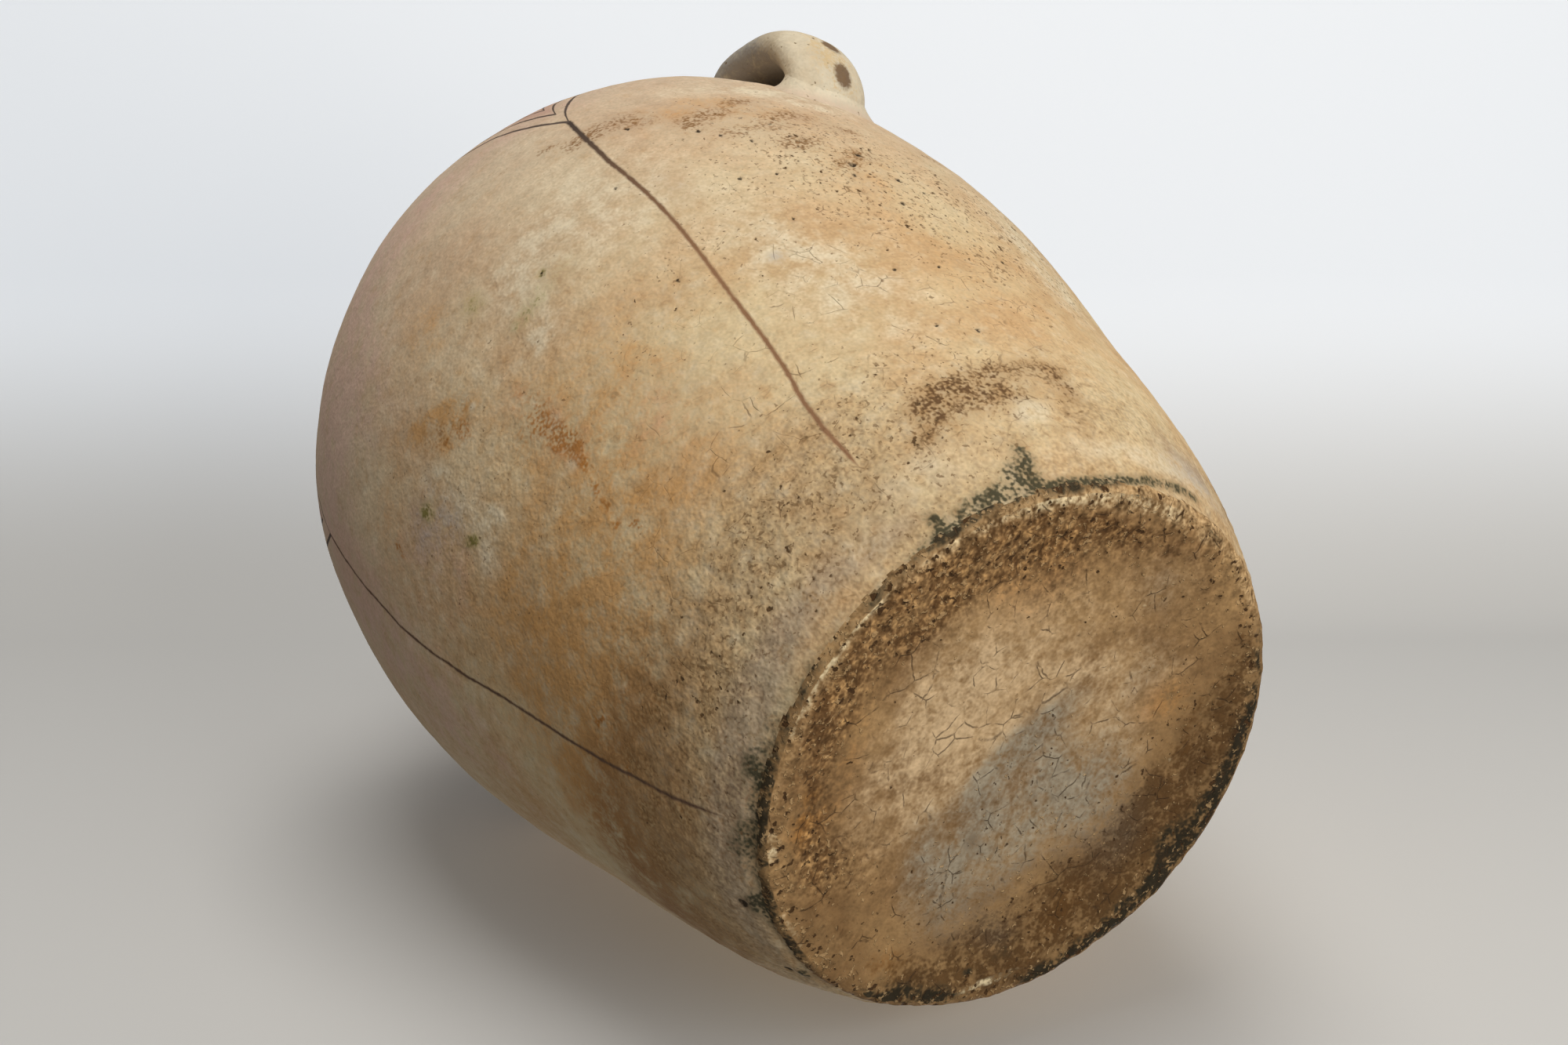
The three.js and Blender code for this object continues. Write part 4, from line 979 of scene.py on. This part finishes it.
slipped = np.ones((len(foot.data.vertices) // COLUMNS, COLUMNS), dtype=np.int32)
slipped[:len(rim)] = 0
slipped[len(rim):len(rim) + coil_rows] = wall_length[:coil_rows] > bare_edge
foot.data.polygons.foreach_set("material_index", slipped.ravel())


# The courses of the wall, from the heel above the foot to the collar of the neck. Each is one coil,
# lapped over the coil below on a slanting joint and smeared into it, inside and out.

INSIDE_ROW = 7.0
nothing = np.zeros((0, COLUMNS, 3))

for index, node in enumerate(list(joints)[1:-1], start=1):
    low, high = joint_lengths[index], joint_lengths[index + 1]
    inner = wall_inside(high + JOINT_CLIMB, low + JOINT_CLIMB, INSIDE_ROW)
    add_course(node, joint_rows[index], joint_rows[index + 1], nothing, inner, {}, nothing,
               [slip])


# The mouth rim is the last coil of clay, luted to the collar like the courses below it, turned out
# and rounded over with a wet cloth into a thick lip.

LIP_ROWS = 14

lip_radius, lip_height, lip_out, lip_up = outline_at(outline_length)
lip_turn = np.linspace(0, np.pi, LIP_ROWS)[1:-1, None]
lip_half = WALL_THICKNESS / 2
lip_reach = lip_half * (np.cos(lip_turn) - 1)
lip_rise = lip_half * np.sin(lip_turn)
lip = ring_points(lip_radius + lip_out * lip_reach - lip_up * lip_rise,
                  lip_height + lip_up * lip_reach + lip_out * lip_rise)
rim_inner = wall_inside(outline_length, joints["mouth_rim"] + JOINT_CLIMB, INSIDE_ROW)
add_course("mouth_rim", joint_rows[-2], joint_rows[-1], nothing, np.concatenate([lip, rim_inner]), {},
           nothing, [slip])


# The handles are oval rods of clay, bent into loops and set into the wall by a tenon at each end.
# They carry the same slip, rubbed pale by hands, with a row of brown dots along the outer face.

STRAP_WIDTH = 44.0
STRAP_THICKNESS = 22.0
STRAP_LEAD = 8.4
LOWER_LEAN = 12.6
UPPER_LEAN = 3.0
HANDLE_STANDOFF = 17.1
STRAP_COLUMNS = 112
STRAP_ROW = 1.2
STRAP_SHOULDER = 0.9
STRAP_DENTS = [(0.5, 21.0), (0.12, 4.0)]
DOT_SPACING = 18.5
FIRST_DOT = -4.0
DOT_HALF_LENGTH = 6.4
DOT_HALF_WIDTH = 4.2
DOT_SHIFT = 2.5
OCHRE_HALF_WIDTH = 13.0
FACE_RADIUS = 0.4 * STRAP_WIDTH
# Where the grey of handling and painted shade lies: along the strap, and round it.
SHADED_GREY_HALF = (0.3, 0.65)
SHADED_GREY_HOLLOW = (-0.2, 1.0)


def wall_root(length):
    """A handle's root at azimuth 0: its place on the wall, the outward normal and the way up the wall."""
    radius, height, out, up = outline_at(length)
    return np.array([radius, 0, height]), np.array([out, 0, up]), np.array([-up, 0, out])


roots = {"lower": wall_root(lower_root), "upper": wall_root(upper_root)}
(low_place, low_out, low_up), (high_place, high_out, high_up) = roots["lower"], roots["upper"]
crown = np.array([OUTLINE[4, 0] + HANDLE_STANDOFF, 0, (low_place[2] + high_place[2]) / 2])
strap_line = smooth_curve(np.array([
    low_place - WALL_THICKNESS * low_out,
    low_place + STRAP_LEAD * low_out + LOWER_LEAN * low_up,
    crown,
    high_place + STRAP_LEAD * high_out - UPPER_LEAN * high_up,
    high_place - WALL_THICKNESS * high_out,
]))
strap_run = run_along(strap_line)
strap_around = np.linspace(0, 2 * np.pi, STRAP_COLUMNS, endpoint=False)


def strap_surface(run):
    """Points of the strap at lengths along it, one row each: an oval across the middle line, from its
    near side at angle 0, over its outer face at a quarter turn. Its cosine and sine are raised to a
    power under 1, which squares the oval a little."""
    middle = np.stack([np.interp(run, strap_run, strap_line[:, part]) for part in range(3)], axis=-1)
    slope = np.gradient(strap_line, strap_run, axis=0)
    ahead = np.stack([np.interp(run, strap_run, slope[:, part]) for part in range(3)], axis=-1)
    ahead /= np.linalg.norm(ahead, axis=-1, keepdims=True)
    outward = np.cross([0.0, 1.0, 0.0], ahead)
    sideways = np.sign(np.cos(strap_around)) * np.abs(np.cos(strap_around)) ** STRAP_SHOULDER
    upright = np.sign(np.sin(strap_around)) * np.abs(np.sin(strap_around)) ** STRAP_SHOULDER
    across = sideways[:, None] * np.array([0, -STRAP_WIDTH / 2, 0])
    through = upright[:, None] * (STRAP_THICKNESS / 2) * outward[..., None, :]
    return middle[..., None, :] + across + through


# Slipped terracotta of the handles: the wall's slip, paler where hands have rubbed it, and grey in
# the hollow of the loop and up the sides of its upper half, which is handling dirt and painted shade.

HANDLE_LAYERS = [
    ("ochre", "#c0a06c", 1.0, 1.2, 0.4, 1.8, 0.6),
    # The grey layer is handling dirt and painted shade in the hollow of the loop and on its shaded upper
    # sides.
    ("grey", "#8a857f", 0.5, 0.4, 0.1, 1.1, 0.8),
    ("smeared", "#ccb49a", 0.4, 0.3, 0.1, 0.9, 0.9),
    ("dot", "#6a5038", 0.1, 0.25, 0.3, 0.7, 0.9),
]
HANDLE_CLAY = "#c9b799"
HANDLE_CLAY_RUBBED = "#d8caae"
HANDLE_PIT_COLOUR = "#7a6344"
# Noises, pits and bumps, given as for the bare clay. Pits crowd evenly, by a third number.
HANDLE_BLOTCH = (24.0, 6.0, 0.6, 1.0)
HANDLE_CLOUD = (13.0, 3.0, 0.65, 0.86)
HANDLE_LUMP = (3.6, 1.5, 0.6, 0.72)
HANDLE_GRIT = (1.4, 0.5, 0.6, 0.6)
HANDLE_PIT = (3.3, 1.1, 0.6)
HANDLE_BUMP = (0.3, 0.6)


def handle_terracotta():
    """Rubbed slip with brown dots, grey of handling and painted shade, pits and grain."""
    material, tree, surface, place = start_clay("handle_terracotta")
    blotch = add_noise(tree, place, *HANDLE_BLOTCH)
    cloud = add_noise(tree, place, *HANDLE_CLOUD)
    lumps = add_noise(tree, place, *HANDLE_LUMP)
    grit = add_noise(tree, place, *HANDLE_GRIT)
    patch = add_node(tree, "MapRange", {"Value": blotch, "From Min": -0.5, "From Max": 0.5})
    colour = lay_over(tree, linear(HANDLE_CLAY), [(patch, linear(HANDLE_CLAY_RUBBED))])
    grain = add_up(tree, grit, [(lumps, 0.6)])
    colour = stain_over(tree, colour, cloud, grain, HANDLE_LAYERS)
    colour = shade_by(tree, colour, [(cloud, 0.08), (lumps, 0.07), (grit, 0.07)])
    pit = add_flecks(tree, place, *HANDLE_PIT)
    colour = lay_over(tree, colour, [(pit, linear(HANDLE_PIT_COLOUR))])
    raised = add_up(tree, lumps, [(grit, 0.5), (pit, -1.0)])
    finish_clay(tree, surface, colour, raised, *HANDLE_BUMP)
    return material


handle_clay = handle_terracotta()
strap_rows = np.linspace(0, strap_run[-1], int(strap_run[-1] / STRAP_ROW))
strap = strap_surface(strap_rows)
strap_out = strap - strap.mean(axis=1, keepdims=True)
strap_out /= np.linalg.norm(strap_out, axis=-1, keepdims=True)
side_turns = {"right": np.array([1.0, 1.0, 1.0]), "left": np.array([-1.0, -1.0, 1.0])}


def strap_stains(rows):
    """A row of dots along the outer face, ochre round them, and grey in the hollow of the loop and up
    the sides of its upper half: handling dirt and painted shade."""
    along = ((rows[:, None] - strap_run[-1] / 2 - FIRST_DOT) / DOT_SPACING + 0.5) % 1 - 0.5
    face = (np.radians(90) - strap_around)[None, :] * FACE_RADIUS
    dot = np.exp(-(along * DOT_SPACING / DOT_HALF_LENGTH) ** 2 - ((face + DOT_SHIFT) / DOT_HALF_WIDTH) ** 2)
    ochre = np.exp(-(face / OCHRE_HALF_WIDTH) ** 2) * np.ones_like(along)
    upper = soft_step(*SHADED_GREY_HALF, rows / strap_run[-1])[:, None]
    grey = soft_step(*SHADED_GREY_HOLLOW, -np.sin(strap_around)) + upper * np.abs(np.cos(strap_around))
    return {"dot": dot, "ochre": ochre, "grey": np.clip(grey, 0, 1)}


handle_stains = {stain: np.append(values.ravel(), [0.0, 0.0])
                 for stain, values in strap_stains(strap_rows).items()}
for side, turn in side_turns.items():
    placed = strap * turn
    placed = placed + clay_lumps(placed, STRAP_DENTS)[..., None] * strap_out * turn
    points = np.concatenate([placed.reshape(-1, 3), placed[[0, -1]].mean(axis=1)])
    first_pole = len(points) - 2
    ring = np.arange(STRAP_COLUMNS)
    faces = [
        grid_quads(len(placed), STRAP_COLUMNS, False),
        pole_fan(first_pole, ring[::-1]),
        pole_fan(first_pole + 1, ring + (len(placed) - 1) * STRAP_COLUMNS),
    ]
    mesh = make_mesh(f"handle_{side}_clay", points, faces, handle_stains)
    add_piece(f"handle_{side}", mesh, [handle_clay])


# The lutings are collars of soft clay, pressed round each handle root with a thumb to seal the tenon
# and drawn out thin over the wall, so that the handle grows out of the jar in one soft curve.

LUTING_SPREAD = 15.0
LUTING_CLIMB = 15.0
LUTING_BURIED = 1.4
LUTING_ROOT_DEPTH = 3.0
LUTING_ROOT_INSET = 4.0
LUTING_EDGE_INSET = 2.0
LUTING_ROWS = 14
LUTING_STEPS = 400
LUTING_DENTS = [(0.35, 14.0), (0.1, 3.5)]
LUTING_SMEAR = (0.2, 0.8)


def onto_wall(points, lift):
    """The nearest places on the wall's smooth outer face, lifted off it by a height."""
    radius = np.hypot(points[:, 0], points[:, 1])
    gap = (radius[:, None] - outline[:, 0]) ** 2 + (points[:, 2][:, None] - outline[:, 1]) ** 2
    out_radius, height, out, up = outline_at(outline_run[np.argmin(gap, axis=1)])
    direction = points[:, :2] / radius[:, None]
    placed_radius = out_radius + lift * out
    return np.column_stack([direction * placed_radius[:, None], height + lift * up])


def height_over_wall(points):
    """Height of points over the wall's smooth outer face, near it."""
    radius = np.hypot(points[..., 0], points[..., 1])
    return radius - np.interp(points[..., 2], outline[:, 1], outline[:, 0])


def luting_rings(from_end):
    """Rings of a luting from the strap to the wall: a fillet on the curve that starts down the strap,
    turns where the strap meets the wall and ends along the wall, then a root buried in the wall."""
    runs = np.linspace(0, strap_run[-1] / 2, LUTING_STEPS)
    surface = strap_surface(strap_run[-1] - runs if from_end else runs)
    met = np.argmax(height_over_wall(surface) > 0, axis=0)
    columns = np.arange(STRAP_COLUMNS)
    climb = int(LUTING_CLIMB / (runs[1] - runs[0]))
    corner = surface[met, columns]
    start = surface[np.minimum(met + climb, len(runs) - 1), columns]
    outward = corner - corner.mean(axis=0)
    outward /= np.linalg.norm(outward, axis=1, keepdims=True)
    end = onto_wall(corner + LUTING_SPREAD * outward, -LUTING_BURIED)
    start = start - LUTING_BURIED * outward
    share = np.linspace(0, 1, LUTING_ROWS)[:, None, None]
    fillet = (1 - share) ** 2 * start + 2 * share * (1 - share) * corner + share ** 2 * end
    deep_end = onto_wall(corner + (LUTING_SPREAD - LUTING_EDGE_INSET) * outward, -LUTING_ROOT_DEPTH)
    deep_corner = onto_wall(corner - LUTING_ROOT_INSET * outward, -LUTING_ROOT_DEPTH)
    deep_start = start - LUTING_ROOT_INSET * outward
    return np.concatenate([fillet, [deep_end, deep_corner, deep_start]])


for side, turn in side_turns.items():
    for level, root in roots.items():
        rings = luting_rings(level == "upper") * turn
        relief = clay_lumps(rings, LUTING_DENTS)
        rings[1:LUTING_ROWS - 1] += relief[1:LUTING_ROWS - 1, :, None] * root[1] * turn
        faces = [grid_quads(len(rings), STRAP_COLUMNS, True)]
        if level == "lower":
            faces = [faces[0][:, ::-1]]
        smeared = soft_step(*LUTING_SMEAR, np.arange(len(rings)) / LUTING_ROWS)
        stains = {"smeared": np.repeat(smeared[:, None], STRAP_COLUMNS, axis=1)}
        mesh = make_mesh(f"handle_{side}_{level}_luting_clay", rings.reshape(-1, 3), faces, stains)
        add_piece(f"handle_{side}_{level}_luting", mesh, [handle_clay])


# The stage: a plain pale sweep, a floor that curves up into a backdrop. It lies where the floor of the
# photograph lay against the jar. It shows from its front alone, and doesn't shade or tint the jar.

FLOOR_NORMAL = Vector((0.9407, -0.2609, 0.2171)).normalized()
FLOOR_DISTANCE = -132.1
CAMERA_PLACE = Vector((202.9, -397.3, -388.4))
CAMERA_FORWARD = Vector((-0.26443, 0.53288, 0.80381))
CAMERA_UP = Vector((0.90537, -0.14998, 0.39726))
FLOOR_BEHIND = 900.0
FLOOR_AHEAD = 1150.0
SWEEP_RADIUS = 260.0
BACKDROP_HEIGHT = 1500.0
SWEEP_HALF_WIDTH = 2200.0
SWEEP_STEPS = 24
STAGE_COLOUR = "#c9c6c0"
BACKDROP_COLOUR = "#d8e0ea"
FLOOR_GLOW = 0.04
BACKDROP_GLOW = 0.6

floor_ahead = (CAMERA_FORWARD - FLOOR_NORMAL * CAMERA_FORWARD.dot(FLOOR_NORMAL)).normalized()
floor_side = floor_ahead.cross(FLOOR_NORMAL)
camera_foot = CAMERA_PLACE - FLOOR_NORMAL * (CAMERA_PLACE.dot(FLOOR_NORMAL) - FLOOR_DISTANCE)
bend = np.linspace(0, np.pi / 2, SWEEP_STEPS)
profile_ahead = np.concatenate([[-FLOOR_BEHIND], FLOOR_AHEAD + SWEEP_RADIUS * np.sin(bend),
                                [FLOOR_AHEAD + SWEEP_RADIUS]])
profile_up = np.concatenate([[0], SWEEP_RADIUS * (1 - np.cos(bend)), [BACKDROP_HEIGHT]])
profile = (np.array(camera_foot) + profile_ahead[:, None] * np.array(floor_ahead)
           + profile_up[:, None] * np.array(FLOOR_NORMAL))
sweep_points = np.concatenate([profile - SWEEP_HALF_WIDTH * np.array(floor_side),
                               profile + SWEEP_HALF_WIDTH * np.array(floor_side)])
left = np.arange(len(profile) - 1)
right = left + len(profile)
sweep_faces = [np.stack([left, right, right + 1, left + 1], axis=-1)]
sweep_mesh = make_mesh("sweep_card", sweep_points, sweep_faces, {})
sweep = bpy.data.objects.new("sweep", sweep_mesh)
bpy.context.collection.objects.link(sweep)
sweep.visible_diffuse = False
sweep.visible_glossy = False
sweep.visible_shadow = False


def stage_card():
    """Matt card, seen from its front and clear from behind. The camera sees the backdrop glow a little
    more with its height over the floor, so that it stays pale away from the lamps."""
    material = bpy.data.materials.new("stage_card")
    material.use_nodes = True
    tree = material.node_tree
    surface = tree.nodes["Principled BSDF"]
    surface.inputs["Base Color"].default_value = linear(STAGE_COLOUR)
    surface.inputs["Roughness"].default_value = 1.0
    surface.inputs["Specular IOR Level"].default_value = 0.0
    surface.inputs["Emission Color"].default_value = linear(BACKDROP_COLOUR)
    place = add_node(tree, "TexCoord", {}, output="Object")
    over = add_node(tree, "VectorMath", {0: place, 1: FLOOR_NORMAL}, output="Value",
                    operation="DOT_PRODUCT")
    glow = add_node(tree, "MapRange", {"Value": over, "From Min": FLOOR_DISTANCE * MM,
                                       "From Max": (FLOOR_DISTANCE + SWEEP_RADIUS) * MM,
                                       "To Min": FLOOR_GLOW, "To Max": BACKDROP_GLOW},
                    interpolation_type="SMOOTHSTEP")
    seen = add_node(tree, "LightPath", {}, output="Is Camera Ray")
    glow = add_node(tree, "Math", {0: glow, 1: seen}, operation="MULTIPLY")
    tree.links.new(glow, surface.inputs["Emission Strength"])
    behind = add_node(tree, "NewGeometry", {}, output="Backfacing")
    clear = add_node(tree, "BsdfTransparent", {})
    shown = add_node(tree, "MixShader", {0: behind, 1: surface.outputs[0], 2: clear})
    tree.links.new(shown, tree.nodes["Material Output"].inputs["Surface"])
    return material


sweep_mesh.materials.append(stage_card())


# The light: an even sky over the floor, brightest where the photograph's light came from, one soft
# lamp there, and weaker lamps that open up the underside and the side away from the photograph.
# The camera alone sees the pale background, since dull clay has no gloss to mirror it.

LIGHT_FROM = Vector((0.90, 0.10, 0.25)).normalized()
SKY_LOW = 0.235
SKY_HIGH = 0.27
SKY_TURN = (-0.35, 0.5)
BACKGROUND = "#e4e7ea"

world = bpy.data.worlds.new("studio")
world.use_nodes = True
bpy.context.scene.world = world
sky_tree = world.node_tree
sky = sky_tree.nodes["Background"]
direction = add_node(sky_tree, "TexCoord", {}, output="Generated")
toward = add_node(sky_tree, "VectorMath", {0: direction, 1: LIGHT_FROM}, output="Value",
                  operation="DOT_PRODUCT")
glow = add_node(sky_tree, "MapRange", {"Value": toward, "From Min": SKY_TURN[0], "From Max": SKY_TURN[1],
                                       "To Min": SKY_LOW, "To Max": SKY_HIGH},
                interpolation_type="SMOOTHSTEP")
seen = add_node(sky_tree, "LightPath", {}, output="Is Camera Ray")
sky_colour = lay_over(sky_tree, glow, [(seen, linear(BACKGROUND))])
sky_tree.links.new(sky_colour, sky.inputs["Color"])


def add_lamp(name, toward, distance, size, power):
    """A square soft lamp at a distance from the middle of the jar, turned to face it. Its distance and
    size are in metres and its power is in watts."""
    lamp = bpy.data.lights.new(name, "AREA")
    lamp.size = size
    lamp.energy = power
    middle = (cad_box[0] + cad_box[1]) / 2
    rig = bpy.data.objects.new(name, lamp)
    rig.location = middle + toward.normalized() * distance
    rig.rotation_euler = (-toward).to_track_quat("-Z", "Y").to_euler()
    bpy.context.collection.objects.link(rig)


add_lamp("key_lamp", Vector((0.95, -0.34, 0.15)), 2.0, 1.2, 24.0)
add_lamp("front_lamp", Vector((0.45, 0.05, -0.89)), 1.6, 0.9, 14.0)
add_lamp("back_lamp", Vector((-0.62, 0.78, 0.15)), 1.6, 0.8, 14.0)


# The camera stands where the photograph was taken from, and is turned as the photographer held it over
# the lying jar. Its lens is the one that the photograph's perspective gives for a 36 mm sensor.

SENSOR_WIDTH = 36.0
LENS = 36.02

camera_data = bpy.data.cameras.new("photo_camera")
camera_data.sensor_width = SENSOR_WIDTH
camera_data.lens = LENS
camera = bpy.data.objects.new("photo_camera", camera_data)
camera_right = CAMERA_FORWARD.cross(CAMERA_UP)
turned = Matrix((camera_right, CAMERA_UP, -CAMERA_FORWARD)).transposed().to_4x4()
camera.matrix_world = Matrix.Translation(CAMERA_PLACE * MM) @ turned
bpy.context.collection.objects.link(camera)
bpy.context.scene.camera = camera
bpy.context.scene.view_settings.view_transform = "Standard"
